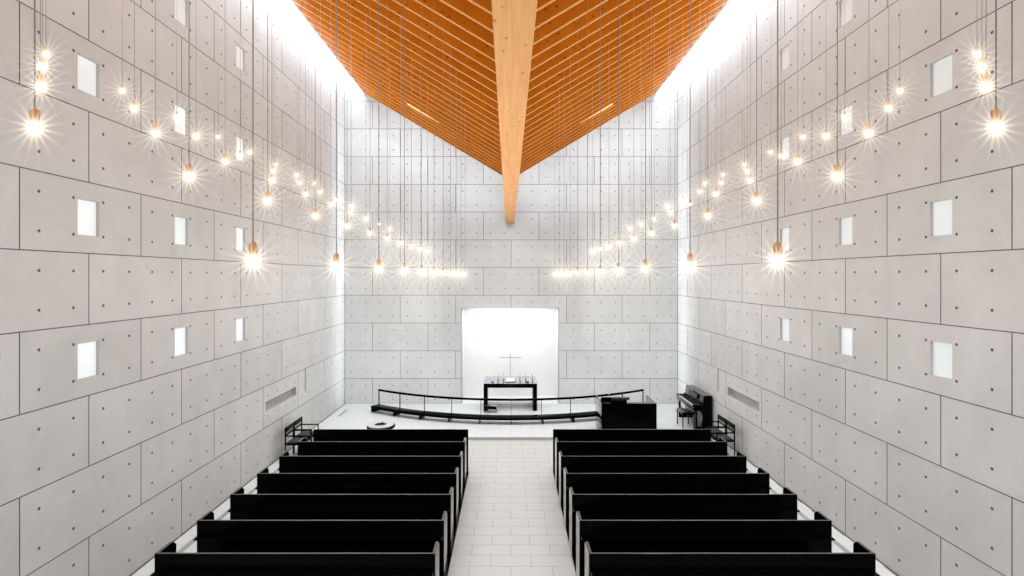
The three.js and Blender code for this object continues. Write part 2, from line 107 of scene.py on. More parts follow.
class Slot(Enum):
    """The record's material slots."""

    CONCRETE = "concrete"
    RENDER = "white_render"
    TILE = "floor_tile"
    GLULAM = "glulam"
    RAFTER = "rafter_timber"
    GLASS = "glass"
    LACQUER = "black_lacquer"
    STEEL = "dark_steel"
    STONE = "pale_stone"
    CLOTH = "blue_cloth"


class Side(Enum):
    """The two long sides of the hall, seen while facing the altar."""

    LEFT = -1
    RIGHT = 1


def from_end(distance: float) -> float:
    """Returns the Y of a place given as its distance from the end wall."""
    return END_Y - distance


def slope_z(distance: float) -> float:
    """Returns the height of the rafters' underside at a distance from the keel."""
    return ROOF_VALLEY_Z + ROOF_RISE * distance


def scaled(colour: Colour, share: float) -> Colour:
    """Returns a colour made darker or lighter, held under full white."""
    return tuple(min(1.0, share * part) for part in colour)


def circle(radius: float, sides: int, middle: Pair = (0.0, 0.0)) -> list[Pair]:
    """Returns points evenly spaced round a circle."""
    angles = [2 * math.pi * step / sides for step in range(sides)]
    return [(middle[0] + radius * math.cos(a), middle[1] + radius * math.sin(a)) for a in angles]


class Shader:
    """Writes one node material round a Principled shader."""

    def __init__(self, name: str) -> None:
        """Starts an empty material.

        Args:
            name: The material's name.
        """
        self.material = bpy.data.materials.new(name)
        self.material.use_nodes = True
        self.tree = self.material.node_tree
        self.bsdf = self.tree.nodes["Principled BSDF"]
        self.coords = self.tree.nodes.new("ShaderNodeTexCoord").outputs["Object"]

    def set(self, **values: object) -> None:
        """Sets or links the Principled shader's sockets, named with underscores for spaces."""
        for name, value in values.items():
            self.feed(self.bsdf.inputs[name.replace("_", " ")], value)

    def feed(self, socket: bpy.types.NodeSocket, value: object) -> None:
        """Links a socket from another, or gives it a plain value.

        Args:
            socket: The socket that is fed.
            value: A socket, number, vector or colour.
        """
        if isinstance(value, bpy.types.NodeSocket):
            self.tree.links.new(value, socket)
        elif socket.type == "RGBA" and len(value) == 3:
            socket.default_value = (*value, 1.0)
        else:
            socket.default_value = value

    def node(self, kind: str, inputs: dict, **settings: object) -> bpy.types.Node:
        """Adds a node.

        Args:
            kind: The node's type without its ShaderNode prefix.
            inputs: Input index or name to value or source.
            **settings: The node's own properties.

        Returns:
            The new node.
        """
        made = self.tree.nodes.new("ShaderNode" + kind)
        for name, value in settings.items():
            setattr(made, name, value)
        for key, value in inputs.items():
            self.feed(made.inputs[key], value)
        return made

    def stretched(self, scale: Point) -> bpy.types.NodeSocket:
        """Returns the object coordinates with each axis scaled."""
        return self.node("Mapping", {"Vector": self.coords, "Scale": scale}).outputs[0]

    def noise(
        self,
        scale: float,
        detail: float = 3.0,
        rough: float = 0.55,
        along: Point = (1, 1, 1),
        bend: float = 0.0,
    ) -> bpy.types.NodeSocket:
        """Returns a noise value over the object's coordinates.

        Args:
            scale: Features to the metre.
            detail: Octaves of finer noise.
            rough: Strength of the finer noise.
            along: Stretch of each axis.
            bend: Distortion.

        Returns:
            The factor socket.
        """
        inputs = {
            "Vector": self.stretched(along),
            "Scale": scale,
            "Detail": detail,
            "Roughness": rough,
            "Distortion": bend,
        }
        return self.node("TexNoise", inputs).outputs["Fac"]

    def spread(self, value: object, low: Pair, high: Pair) -> bpy.types.NodeSocket:
        """Maps a value between the source's and the result's lower and upper ends, and holds it there."""
        inputs = {0: value, 1: low[0], 2: high[0], 3: low[1], 4: high[1]}
        return self.node("MapRange", inputs).outputs[0]

    def maths(self, operation: str, *values: object) -> bpy.types.NodeSocket:
        """Returns the result of one Math node."""
        return self.node("Math", dict(enumerate(values)), operation=operation).outputs[0]

    def mix(self, factor: object, first: object, second: object) -> bpy.types.NodeSocket:
        """Returns a mix of two colours, where the factor is the second one's share."""
        return self.node("Mix", {0: factor, 6: first, 7: second}, data_type="RGBA").outputs[2]

    def split(self, vector: bpy.types.NodeSocket) -> list[bpy.types.NodeSocket]:
        """Returns the three parts of a vector."""
        return list(self.node("SeparateXYZ", {0: vector}).outputs)

    def normal(self) -> bpy.types.NodeSocket:
        """Returns the face's true normal."""
        return self.tree.nodes.new("ShaderNodeNewGeometry").outputs["True Normal"]

    def tone(self) -> bpy.types.NodeSocket:
        """Returns the tone that the mesh stores, one value for each laid unit."""
        return self.node("Attribute", {}, attribute_name="tone").outputs["Fac"]

    def bump(self, height: object, strength: float, distance: float) -> None:
        """Raises the surface by a height source, with a strength and a height in metres."""
        inputs = {"Height": height, "Strength": strength, "Distance": distance}
        self.set(Normal=self.node("Bump", inputs).outputs[0])

    def glow(self, colour: object, strength: object) -> None:
        """Makes the surface glow without counting it among the lamps."""
        self.set(Emission_Color=colour, Emission_Strength=strength)
        self.material.cycles.emission_sampling = "NONE"


MADE: dict[str, bpy.types.Material] = {}


@dataclass(frozen=True)
class Finish:
    """A finish that is made into one material, once."""

    name: str
    slot: Slot

    def shade(self, shader: Shader) -> None:
        """Writes the finish's nodes; each finish gives its own."""
        raise NotImplementedError

    def material(self) -> bpy.types.Material:
        """Makes the finish's material on its first use.

        Returns:
            The material.
        """
        if self.name not in MADE:
            shader = Shader(self.name)
            self.shade(shader)
            MADE[self.name] = shader.material
        return MADE[self.name]


@dataclass(frozen=True)
class FairFacedConcrete(Finish):
    """Cast concrete with clouding, pores and a tone for each panel."""

    colour: Colour = (0.556, 0.562, 0.556)
    # Painted shade: the colour of the panels' rims in the joints and tie holes.
    joint: Colour = (0.10, 0.09, 0.083)

    def shade(self, shader: Shader) -> None:
        """Writes clouds, fine grain and pores, and painted shade on the panels' edges in the joints and tie
        holes.

        Args:
            shader: The material's writer.
        """
        dark, light = scaled(self.colour, 0.84), scaled(self.colour, 1.08)
        clouds = shader.noise(1.3, 6.0, 0.68, (1, 1, 0.75), 0.5)
        grain = shader.noise(38.0)
        tone = shader.tone()
        base = shader.mix(shader.spread(clouds, (0.32, 0.0), (0.68, 1.0)), dark, light)
        panel = shader.mix(shader.spread(tone, (0.0, 0.0), (1.0, 1.0)), dark, light)
        toned = shader.mix(0.35, base, panel)
        fine = shader.mix(shader.spread(grain, (0.35, 0.0), (0.7, 0.35)), toned, light)
        x, y, z = shader.split(shader.coords)
        flat = shader.node("CombineXYZ", {"X": shader.maths("ADD", x, y), "Y": z}).outputs["Vector"]
        inputs = {"Vector": flat, "Scale": 26.0, "Randomness": 1.0}
        cells = shader.node("TexVoronoi", inputs, voronoi_dimensions="2D").outputs["Distance"]
        pores = shader.spread(cells, (0.03, 0.75), (0.1, 0.0))
        face = shader.mix(pores, fine, scaled(self.colour, 0.45))
        # Painted shade: rims marked in the mesh take the dark colour, standing in for the shade in the
        # joints and tie holes.
        edge = shader.maths("LESS_THAN", tone, PAINTED_SHADE_TONE / 2)
        shader.set(Base_Color=shader.mix(edge, face, self.joint))
        shader.set(Roughness=shader.spread(clouds, (0.2, 0.72), (0.8, 0.9)))
        shader.bump(shader.maths("SUBTRACT", grain, pores), 0.25, 0.004)


@dataclass(frozen=True)
class BackedConcrete(Finish):
    """The cast core behind the panels, with painted shade where it shows in joints and tie holes."""

    colour: Colour = (0.575, 0.566, 0.557)
    # Painted shade: the colour of the core where it shows in the joints and tie holes.
    joint: Colour = (0.13, 0.118, 0.108)

    def shade(self, shader: Shader) -> None:
        """Paints shade only on the wall planes that the panels cover.

        Args:
            shader: The material's writer.
        """
        x, y, _ = shader.split(shader.coords)
        across, along, _ = shader.split(shader.normal())
        # Painted shade: the core is darkened wherever the panels cover it, so that it shows dark in the
        # joints and tie holes.
        painted_shade_mask = shader.maths(
            "MAXIMUM",
            self.at_face(shader, across, shader.maths("ABSOLUTE", x), HALF_WIDTH + WALL / 2),
            self.at_face(shader, along, y, END_Y + WALL / 2),
        )
        base = shader.mix(shader.noise(1.4, 4.0), scaled(self.colour, 0.85), self.colour)
        shader.set(Base_Color=shader.mix(painted_shade_mask, base, self.joint), Roughness=0.85)
        shader.bump(shader.noise(40.0), 0.25, 0.004)

    @staticmethod
    def at_face(
        shader: Shader,
        facing: bpy.types.NodeSocket,
        place: bpy.types.NodeSocket,
        middle: float,
    ) -> bpy.types.NodeSocket:
        """Tells where a wall's inner or outer face lies.

        Args:
            shader: The material's writer.
            facing: The normal's part across the wall.
            place: The coordinate across the wall.
            middle: The coordinate of the wall's middle.

        Returns:
            A socket of 1 on either face and 0 elsewhere.
        """
        flat = shader.maths("GREATER_THAN", shader.maths("ABSOLUTE", facing), 0.9)
        depth = shader.maths("ABSOLUTE", shader.maths("SUBTRACT", place, middle))
        off = shader.maths("ABSOLUTE", shader.maths("SUBTRACT", depth, WALL / 2))
        return shader.maths("MULTIPLY", flat, shader.maths("LESS_THAN", off, 0.01))


@dataclass(frozen=True)
class HonedTile(Finish):
    """Pale honed stone tile, one tone for each tile."""

    colour: Colour = (0.705, 0.75, 0.75)

    def shade(self, shader: Shader) -> None:
        """Writes a soft mottle and a tone for each tile.

        Args:
            shader: The material's writer.
        """
        dark = scaled(self.colour, 0.90)
        mottle = shader.noise(14.0, 5.0, 0.65)
        base = shader.mix(shader.tone(), dark, scaled(self.colour, 1.06))
        shader.set(Base_Color=shader.mix(shader.spread(mottle, (0.35, 0.0), (0.75, 0.5)), base, dark))
        shader.set(Roughness=shader.spread(mottle, (0.2, 0.36), (0.8, 0.5)))
        shader.bump(mottle, 0.06, 0.002)


@dataclass(frozen=True)
class Plain(Finish):
    """A small even material, with a slight mottle so that it isn't flat.

    The grain is the mottle's scale, octaves and roughness. The tones are the shares of the colour
    that it wavers between, and wear is what it adds to the roughness. The relief is the bump's
    strength and height, and the ripple the scale and octaves of a bump that has its own.
    """

    colour: Colour = (0.8, 0.8, 0.8)
    rough: float = 0.5
    metal: float = 0.0
    grain: Point = (30.0, 3.0, 0.55)
    along: Point = (1, 1, 1)
    tones: Pair = (0.82, 1.0)
    wear: float = 0.12
    relief: Pair = (0.1, 0.001)
    ripple: Pair | None = None

    def shade(self, shader: Shader) -> None:
        """Writes the colour, its mottle and a fine relief.

        Args:
            shader: The material's writer.
        """
        mottle = shader.noise(*self.grain, self.along)
        first, second = (scaled(self.colour, share) for share in self.tones)
        shader.set(Base_Color=shader.mix(mottle, first, second), Metallic=self.metal, Roughness=self.rough)
        if self.wear:
            shader.set(Roughness=shader.spread(mottle, (0.3, self.rough), (0.7, self.rough + self.wear)))
        if self.relief[0]:
            shader.bump(shader.noise(*self.ripple) if self.ripple else mottle, *self.relief)


@dataclass(frozen=True)
class SmoothRender(Plain):
    """White render with the faint unevenness of a trowel."""

    colour: Colour = (0.90, 0.90, 0.89)
    rough: float = 0.8
    grain: Point = (2.2, 3.0, 0.55)
    tones: Pair = (0.95, 1.0)
    wear: float = 0.0
    relief: Pair = (0.12, 0.002)
    ripple: Pair | None = (60.0, 2.0)


@dataclass(frozen=True)
class Bedding(Plain):
    """The floor under the tiles, an uneven grey mortar that shows as their joints."""

    colour: Colour = (0.30, 0.28, 0.26)
    rough: float = 0.9
    grain: Point = (55.0, 4.0, 0.55)
    tones: Pair = (1.0, 1.15)
    wear: float = 0.0
    relief: Pair = (0.0, 0.0)


@dataclass(frozen=True)
class WaxedSteel(Plain):
    """Dark waxed steel, brushed along its length."""

    colour: Colour = (0.045, 0.045, 0.048)
    rough: float = 0.34
    metal: float = 0.9
    grain: Point = (30.0, 3.0, 0.6)
    along: Point = (1, 1, 14)
    tones: Pair = (1.0, 1.6)
    relief: Pair = (0.0, 0.0)


@dataclass(frozen=True)
class SheetMetal(Plain):
    """Slightly weathered sheet metal for flashings and frames."""

    colour: Colour = (0.50, 0.51, 0.52)
    rough: float = 0.42
    metal: float = 0.85
    grain: Point = (1.6, 5.0, 0.6)
    tones: Pair = (0.78, 1.0)
    wear: float = 0.18
    relief: Pair = (0.08, 0.002)
    ripple: Pair | None = (9.0, 3.0)


@dataclass(frozen=True)
class Timber(Finish):
    """Oiled softwood with grain along the hall or up the slope, and small dark knots."""

    pale: Colour = (0.64, 0.345, 0.138)
    deep: Colour = (0.52, 0.228, 0.076)
    grain: Point = (26.0, 1.1, 26.0)
    knots: Point = (11.0, 8.0, 11.0)
    knot: Colour = (0.25, 0.10, 0.035)
    board: float = 0.0
    # Colour of painted light on the rafters' downward faces, or None.
    underside: Colour | None = None

    def shade(self, shader: Shader) -> None:
        """Writes grain, boards, painted light on the rafters' undersides, and knots.

        Args:
            shader: The material's writer.
        """
        x, _, z = shader.split(shader.coords)
        streak = shader.noise(1.0, 5.0, 0.6, self.grain, 0.6)
        slow = shader.noise(0.8, 2.0, 0.5)
        base = shader.mix(shader.spread(streak, (0.3, 0.0), (0.7, 1.0)), self.deep, self.pale)
        base = shader.mix(shader.spread(slow, (0.3, 0.0), (0.7, 0.3)), base, self.pale)
        if self.board:
            lamella = shader.maths("FLOOR", shader.maths("DIVIDE", x, self.board))
            shift = shader.node("TexWhiteNoise", {"W": lamella}, noise_dimensions="1D")
            toned = shader.spread(shift.outputs["Value"], (0.0, 0.0), (1.0, 0.32))
            base = shader.mix(toned, base, self.deep)
        # Painted light: the faces just over the rafters' underside are made paler, standing in for the
        # light from the floor that falls on them.
        if self.underside:
            out = shader.maths("ABSOLUTE", shader.maths("SUBTRACT", x, AXIS_X))
            plane = shader.maths("MULTIPLY_ADD", out, ROOF_RISE, ROOF_VALLEY_Z)
            low = shader.spread(shader.maths("SUBTRACT", z, plane), (0.004, 1.0), (0.012, 0.0))
            base = shader.mix(low, base, self.underside)
        inputs = {"Vector": shader.stretched(self.knots), "Scale": 1.0, "Randomness": 1.0}
        cells = shader.node("TexVoronoi", inputs)
        chance = shader.split(cells.outputs["Color"])[0]
        spot = shader.spread(cells.outputs["Distance"], (0.10, 1.0), (0.21, 0.0))
        rare = shader.maths("GREATER_THAN", chance, 0.45)
        knot = shader.maths("MULTIPLY", spot, shader.maths("MULTIPLY", rare, 0.8))
        shader.set(Base_Color=shader.mix(knot, base, self.knot), Roughness=0.55, Specular_IOR_Level=0.2)
        shader.bump(streak, 0.12, 0.002)


@dataclass(frozen=True)
class PolishedLacquer(Finish):
    """Black lacquer with a slight orange-peel surface, glossy on its tops and flanks, with a painted
    highlight on its tops.
    """

    colour: Colour = (0.0018, 0.0017, 0.0019)
    # Painted light on the tops: a lighter colour that stands in for their highlight; the altar's stands in
    # for a reflection.
    painted_top_light: Colour = (0.06, 0.06, 0.062)
    rough: float = 0.14
    gloss_from: float = 0.0
    flank: float = 1.0
    coat_ior: float = 1.5

    def shade(self, shader: Shader) -> None:
        """Writes the gloss, duller on upright fronts, and a fine unevenness.

        Args:
            shader: The material's writer.
        """
        wear = shader.spread(shader.noise(3.0), (0.3, self.rough), (0.75, self.rough + 0.08))
        across, _, upward = shader.split(shader.normal())
        high = shader.maths("GREATER_THAN", shader.split(shader.coords)[2], self.gloss_from)
        top = shader.maths("MULTIPLY", shader.spread(upward, (0.7, 0.0), (0.95, 1.0)), high)
        side = shader.spread(shader.maths("ABSOLUTE", across), (0.7, 0.0), (0.95, self.flank))
        # Painted highlight: tops above the gloss height are mixed halfway to the lighter top colour.
        base = shader.mix(shader.maths("MULTIPLY", top, 0.5), self.colour, self.painted_top_light)
        shader.set(Base_Color=base, Roughness=wear, Specular_IOR_Level=0.03)
        coat = shader.maths("MAXIMUM", top, side)
        shader.set(Coat_Weight=coat, Coat_Roughness=0.06, Coat_IOR=self.coat_ior)
        shader.bump(shader.noise(45.0, 2.0), 0.03, 0.001)


@dataclass(frozen=True)
class WoolCloth(Finish):
    """Dark blue wool cloth with a woven surface."""

    colour: Colour = (0.016, 0.021, 0.040)
    threads: float = 210.0

    def shade(self, shader: Shader) -> None:
        """Writes the weave as crossed waves.

        Args:
            shader: The material's writer.
        """
        inputs = {"Vector": shader.coords, "Scale": self.threads}
        waves = [shader.node("TexWave", inputs, bands_direction=way) for way in ("X", "Y")]
        weave = shader.maths("MULTIPLY", *(wave.outputs["Fac"] for wave in waves))
        shader.set(Base_Color=shader.mix(weave, self.colour, scaled(self.colour, 2.1)), Roughness=0.9)
        shader.set(Sheen_Weight=0.15)
        shader.bump(weave, 0.5, 0.0012)


@dataclass(frozen=True)
class DaylightGlass(Finish):
    """Opal glass: it glows on the faces towards the hall, and is plain grey glass outside."""

    strength: float
    inward: Point

    def shade(self, shader: Shader) -> None:
        """Writes the glow on faces whose normal points the inward way.

        Args:
            shader: The material's writer.
        """
        dot = shader.node("VectorMath", {0: shader.normal(), 1: self.inward}, operation="DOT_PRODUCT")
        facing = shader.spread(dot.outputs["Value"], (0.2, 0.0), (0.6, self.strength))
        shaded = shader.spread(shader.noise(1.2, 2.0), (0.35, 0.0), (0.65, 1.0))
        shader.set(Base_Color=(0.46, 0.52, 0.53), Roughness=0.12, Specular_IOR_Level=0.7, Coat_Weight=0.4)
        shader.glow(shader.mix(shaded, (0.84, 0.875, 0.88), (1.0, 1.0, 1.0)), facing)


@dataclass(frozen=True)
class ClearGlass(Finish):
    """Clear blown glass, which may glow where it stands round a filament."""

    colour: Colour = (0.93, 0.97, 0.97)
    rough: float = 0.03
    cover: float = 0.28
    wave: float = 20.0
    light: Colour = (1.0, 0.84, 0.60)
    strength: float = 0.0

    def shade(self, shader: Shader) -> None:
        """Writes thin clear glass and its glow.

        Args:
            shader: The material's writer.
        """
        shader.set(Base_Color=self.colour, Roughness=self.rough, Alpha=self.cover, IOR=1.45)
        shader.bump(shader.noise(self.wave, 2.0), 0.05, 0.001)
        if self.strength:
            shader.glow(self.light, self.strength)


@dataclass(frozen=True)
class Filament(Finish):
    """The lit filament of a lamp, a little uneven."""

    colour: Colour = (1.0, 0.84, 0.60)
    strength: float = 150.0

    def shade(self, shader: Shader) -> None:
        """Writes the glow.

        Args:
            shader: The material's writer.
        """
        shader.set(Base_Color=(0.9, 0.85, 0.75), Roughness=0.1)
        uneven = shader.mix(shader.noise(40.0, 2.0), self.colour, scaled(self.colour, 1.1))
        shader.glow(uneven, self.strength)


@dataclass(frozen=True)
class SlotLamp(Finish):
    """A lamp let into the roof, brighter towards its outer end."""

    colour: Colour = (1.0, 0.62, 0.30)
    inner: Pair = (2.3, 0.12)
    outer: Pair = (2.95, 1.1)

    def shade(self, shader: Shader) -> None:
        """Writes a glow that grows with the distance from the hall's axis.

        Args:
            shader: The material's writer.
        """
        out = shader.maths("ABSOLUTE", shader.maths("SUBTRACT", shader.split(shader.coords)[0], AXIS_X))
        shader.set(Base_Color=(0.80, 0.45, 0.16), Roughness=0.4)
        shader.glow(self.colour, shader.spread(out, self.inner, self.outer))


@dataclass(frozen=True)
class LampWire(Finish):
    """A thin lamp wire, paler up in the daylight under the roof."""

    low: Colour = (0.38, 0.33, 0.30)
    high: Colour = (0.95, 0.84, 0.72)
    from_z: float = 7.4
    to_z: float = 9.8

    def shade(self, shader: Shader) -> None:
        """Writes the change of colour with height."""
        rise = shader.spread(shader.split(shader.coords)[2], (self.from_z, 0.0), (self.to_z, 1.0))
        shader.set(Base_Color=shader.mix(rise, self.low, self.high), Roughness=0.6)


PANEL = FairFacedConcrete("fair_faced_concrete", Slot.CONCRETE)
CORE = BackedConcrete("cast_core", Slot.CONCRETE)
RENDER = SmoothRender("smooth_render", Slot.RENDER)
TILE = HonedTile("honed_tile", Slot.TILE)
RISER = HonedTile("riser_stone", Slot.TILE, (0.60, 0.59, 0.575))
BEDDING = Bedding("tile_bedding", Slot.TILE)
GLULAM = Timber("keel_glulam", Slot.GLULAM, board=0.107)
RAFTER = Timber(
    "oiled_rafters",
    Slot.RAFTER,
    pale=(0.80, 0.285, 0.0145),
    deep=(0.55, 0.178, 0.007),
    grain=(1.3, 26.0, 1.3),
    knots=(8.0, 11.0, 9.0),
    knot=(0.13, 0.04, 0.008),
    # Painted light: paler colour for the rafters' undersides.
    underside=(0.72, 0.36, 0.125),
)
SOCKET = Timber(
    "lamp_socket",
    Slot.GLULAM,
    pale=(0.72, 0.36, 0.17),
    deep=(0.45, 0.18, 0.075),
    grain=(220.0, 220.0, 30.0),
    knots=(60.0, 60.0, 60.0),
)
LACQUER = PolishedLacquer("polished_black", Slot.LACQUER)
PEW_LACQUER = PolishedLacquer("pew_black", Slot.LACQUER, gloss_from=1.2, coat_ior=2.2)
CHAIR_LACQUER = PolishedLacquer("chair_black", Slot.LACQUER, gloss_from=1.02, flank=0.12)
RAIL_PAINT = PolishedLacquer("rail_black", Slot.STEEL, (0.003, 0.003, 0.0034), gloss_from=9.0, flank=0.1)
KNEELER_LACQUER = PolishedLacquer("kneeler_black", Slot.LACQUER, gloss_from=9.0, flank=0.1)
# The altar's tops carry a painted reflection of the bright niche, in pale blue-grey.
ALTAR_LACQUER = PolishedLacquer(
    "altar_black",
    Slot.LACQUER,
    painted_top_light=(0.50, 0.57, 0.60),
    gloss_from=0.8,
    coat_ior=2.6,
)
CLOTH = WoolCloth("blue_wool", Slot.CLOTH)
STEEL = WaxedSteel("waxed_steel", Slot.STEEL)
BRIGHT_STEEL = WaxedSteel("brushed_cross_steel", Slot.STEEL, (0.30, 0.30, 0.30), 0.3)
ZINC = SheetMetal("zinc_sheet", Slot.STEEL)
FRAME = SheetMetal("window_frame", Slot.STEEL, (0.62, 0.63, 0.64), 0.35)
MEMBRANE = Plain("roof_membrane", Slot.STEEL, (0.36, 0.365, 0.37), 0.7, grain=(6.0, 3.0, 0.55))
CHANNEL = Plain("floor_channel", Slot.STEEL, (0.50, 0.51, 0.52), 0.5, 0.3)
BRASS = Plain("pedal_brass", Slot.STEEL, (0.60, 0.42, 0.16), 0.3, 0.9)
# Near-black; laid as the strip at the wall's foot it is painted shade.
SHADOW_GAP = Plain("shadow_gap", Slot.STEEL, (0.05, 0.045, 0.042), 0.8)
STONE = Plain("bowl_stone", Slot.STONE, (0.60, 0.62, 0.60), 0.45, grain=(22.0, 3.0, 0.55))
TRIM = Plain("pale_trim", Slot.RENDER, (0.82, 0.82, 0.81), 0.45)
SCONCE = Plain("wall_sconce", Slot.RENDER, (0.62, 0.61, 0.60), 0.5)
PAGE = Plain("book_page", Slot.RENDER, (0.86, 0.86, 0.83), 0.8)
BOOK_EDGE = Plain("book_edge", Slot.RENDER, (0.11, 0.105, 0.10), 0.8, grain=(90.0, 3.0, 0.55))
WAX = Plain("candle_wax", Slot.RENDER, (0.88, 0.87, 0.82), 0.5)
WHITE_KEY = Plain("white_key", Slot.RENDER, (0.85, 0.84, 0.80), 0.25)
STAGE = Plain("stage_pale", Slot.RENDER, (0.78, 0.78, 0.77), 0.8)
VASE = ClearGlass("vase_glass", Slot.GLASS)
BULB = ClearGlass("lamp_bulb", Slot.GLASS, (0.95, 0.92, 0.86), 0.05, 0.45, 60.0, strength=2.4)
FILAMENT = Filament("lamp_filament", Slot.GLASS)
ROOF_LAMP = SlotLamp("roof_lamp", Slot.GLASS)
WIRE = LampWire("lamp_wire", Slot.STEEL)
OPAL = {
    Side.LEFT: DaylightGlass("window_opal_left", Slot.GLASS, 0.54, (1.0, 0.0, 0.0)),
    Side.RIGHT: DaylightGlass("window_opal_right", Slot.GLASS, 0.42, (-1.0, 0.0, 0.0)),
}
SKYLIGHT = DaylightGlass("rooflight_glass", Slot.GLASS, 2.2, DOWN)


class Sketch:
    """Collects faces in the hall's frame and turns them into one mesh object."""

    def __init__(self) -> None:
        """Starts with nothing drawn."""
        self.mesh = bmesh.new()
        self.tone = self.mesh.faces.layers.float.new("tone")
        self.random = random.Random(7)

    def mark(self, faces: Iterable[bmesh.types.BMFace]) -> None:
        """Gives the faces of one form one tone, drawn at random.

        Args:
            faces: The form's faces.
        """
        value = self.random.random()
        for face in faces:
            face[self.tone] = value

    def box(self, low: Point, high: Point, turn: Matrix | None = None) -> None:
        """Adds a box between two corners.

        Args:
            low: The lowest corner.
            high: The highest corner.
            turn: A move of the finished box.
        """
        xs, ys, zs = zip(low, high)
        corners = [Vector((x, y, z)) for x in xs for y in ys for z in zs]
        if turn is not None:
            corners = [turn @ corner for corner in corners]
        verts = [self.mesh.verts.new(corner) for corner in corners]
        sides = ((0, 1, 3, 2), (4, 6, 7, 5), (0, 4, 5, 1), (2, 3, 7, 6), (0, 2, 6, 4), (1, 5, 7, 3))
        self.mark([self.mesh.faces.new([verts[i] for i in side]) for side in sides])

    def skin(self, rings: Iterable[Iterable[Vector]]) -> None:
        """Adds a solid through rings of as many points each, closed at both ends.

        Args:
            rings: The rings, from one end to the other.
        """
        loops = [[self.mesh.verts.new(point) for point in ring] for ring in rings]
        faces = [self.mesh.faces.new(loops[0][::-1]), self.mesh.faces.new(loops[-1])]
        for lower, upper in zip(loops, loops[1:]):
            for step in range(len(lower)):
                following = (step + 1) % len(lower)
                quad = (lower[step], lower[following], upper[following], upper[step])
                faces.append(self.mesh.faces.new(quad))
        self.mark(faces)

    def lathe(self, profile: Sequence[Pair], centre: Point = (0, 0, 0), sides: int = 20) -> None:
        """Adds a turned form from radius and height pairs, bottom to top, over the axis's foot."""
        foot = Vector(centre)
        self.skin([foot + Vector((x, y, z)) for x, y in circle(radius, sides)] for radius, z in profile)

    def tube(self, path: Sequence[Point], radius: float, sides: int = 8) -> None:
        """Adds a round bar along a path.

        Args:
            path: The points that the bar follows.
            radius: The bar's radius.
            sides: Faces round the bar.
        """
        points = [Vector(point) for point in path]
        rings = []
        for index, point in enumerate(points):
            before = points[max(index - 1, 0)]
            after = points[min(index + 1, len(points) - 1)]
            turn = (after - before).to_track_quat("Z", "Y")
            rings.append([point + turn @ Vector((x, y, 0.0)) for x, y in circle(radius, sides)])
        self.skin(rings)

    def prism(self, outline: Sequence[Point], push: Point) -> None:
        """Adds a flat outline pushed into a solid, along the way and length of the push."""
        first = [Vector(point) for point in outline]
        self.skin([first, [point + Vector(push) for point in first]])

    def data(self, name: str) -> bpy.types.Mesh:
        """Returns the drawn faces, turned outwards, as mesh data."""
        bmesh.ops.recalc_face_normals(self.mesh, faces=self.mesh.faces)
        return mesh_data(name, self.mesh)

    def piece(
        self,
        name: str,
        finish: Finish,
        bevel: float = 0.0,
        smooth: bool = False,
    ) -> bpy.types.Object:
        """Turns the drawn faces into a piece of the hall."""
        return dress(new_object(name, self.data(name)), finish, bevel, smooth)


def mesh_data(name: str, work: bmesh.types.BMesh) -> bpy.types.Mesh:
    """Turns a working mesh into mesh data and frees it.

    Args:
        name: The name of the mesh data.
        work: The working mesh.

    Returns:
        The mesh data.
    """
    made = bpy.data.meshes.new(name)
    work.to_mesh(made)
    work.free()
    return made


def new_object(name: str, data: bpy.types.ID | None) -> bpy.types.Object:
    """Adds an object to the scene.

    Args:
        name: The object's name.
        data: Its mesh, camera or light.

    Returns:
        The object.
    """
    made = bpy.data.objects.new(name, data)
    bpy.context.scene.collection.objects.link(made)
    return made


def evaluated_mesh(source: bpy.types.Object) -> bpy.types.Mesh:
    """Returns a plain mesh of an object with its modifiers applied."""
    return bpy.data.meshes.new_from_object(source.evaluated_get(bpy.context.evaluated_depsgraph_get()))


def dress(
    made: bpy.types.Object,
    finish: Finish,
    bevel: float = 0.0,
    smooth: bool = False,
) -> bpy.types.Object:
    """Gives a piece its finish and edges, and fixes it to the hall.

    Args:
        made: The piece.
        finish: Its finish.
        bevel: Width of its rounded edges, or 0 for sharp ones.
        smooth: Whether its faces are shaded smoothly.

    Returns:
        The piece.
    """
    made.data.materials.clear()
    made.data.materials.append(finish.material())
    if smooth or bevel:
        made.data.shade_smooth()
    if bevel:
        rounding = made.modifiers.new("edges", "BEVEL")
        rounding.width = bevel
        rounding.segments = 2
        rounding.limit_method = "ANGLE"
        rounding.harden_normals = True
    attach(made, "root")
    LOG.info("%s: %d faces", made.name, len(made.data.polygons))
    return made


def refinish(finish: Finish, *nodes: str) -> None:
    """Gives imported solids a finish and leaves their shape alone.

    Args:
        finish: The finish.
        *nodes: The solids' nodes.
    """
    for node in nodes:
        data = frame["nodes"][node].data
        data.materials.clear()
        data.materials.append(finish.material())


def rounded(node: str, finish: Finish, bevel: float) -> None:
    """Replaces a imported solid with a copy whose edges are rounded.

    Args:
        node: The solid's node.
        finish: The finish of the copy.
        bevel: Width of the rounded edges.
    """
    work = bmesh.new()
    work.from_mesh(frame["nodes"][node].data)
    bmesh.ops.remove_doubles(work, verts=work.verts, dist=0.00005)
    bmesh.ops.dissolve_limit(work, angle_limit=math.radians(1.0), verts=work.verts, edges=work.edges)
    name = f"{node}_rounded"
    made = dress(new_object(name, mesh_data(name, work)), finish, bevel)
    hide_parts(node)


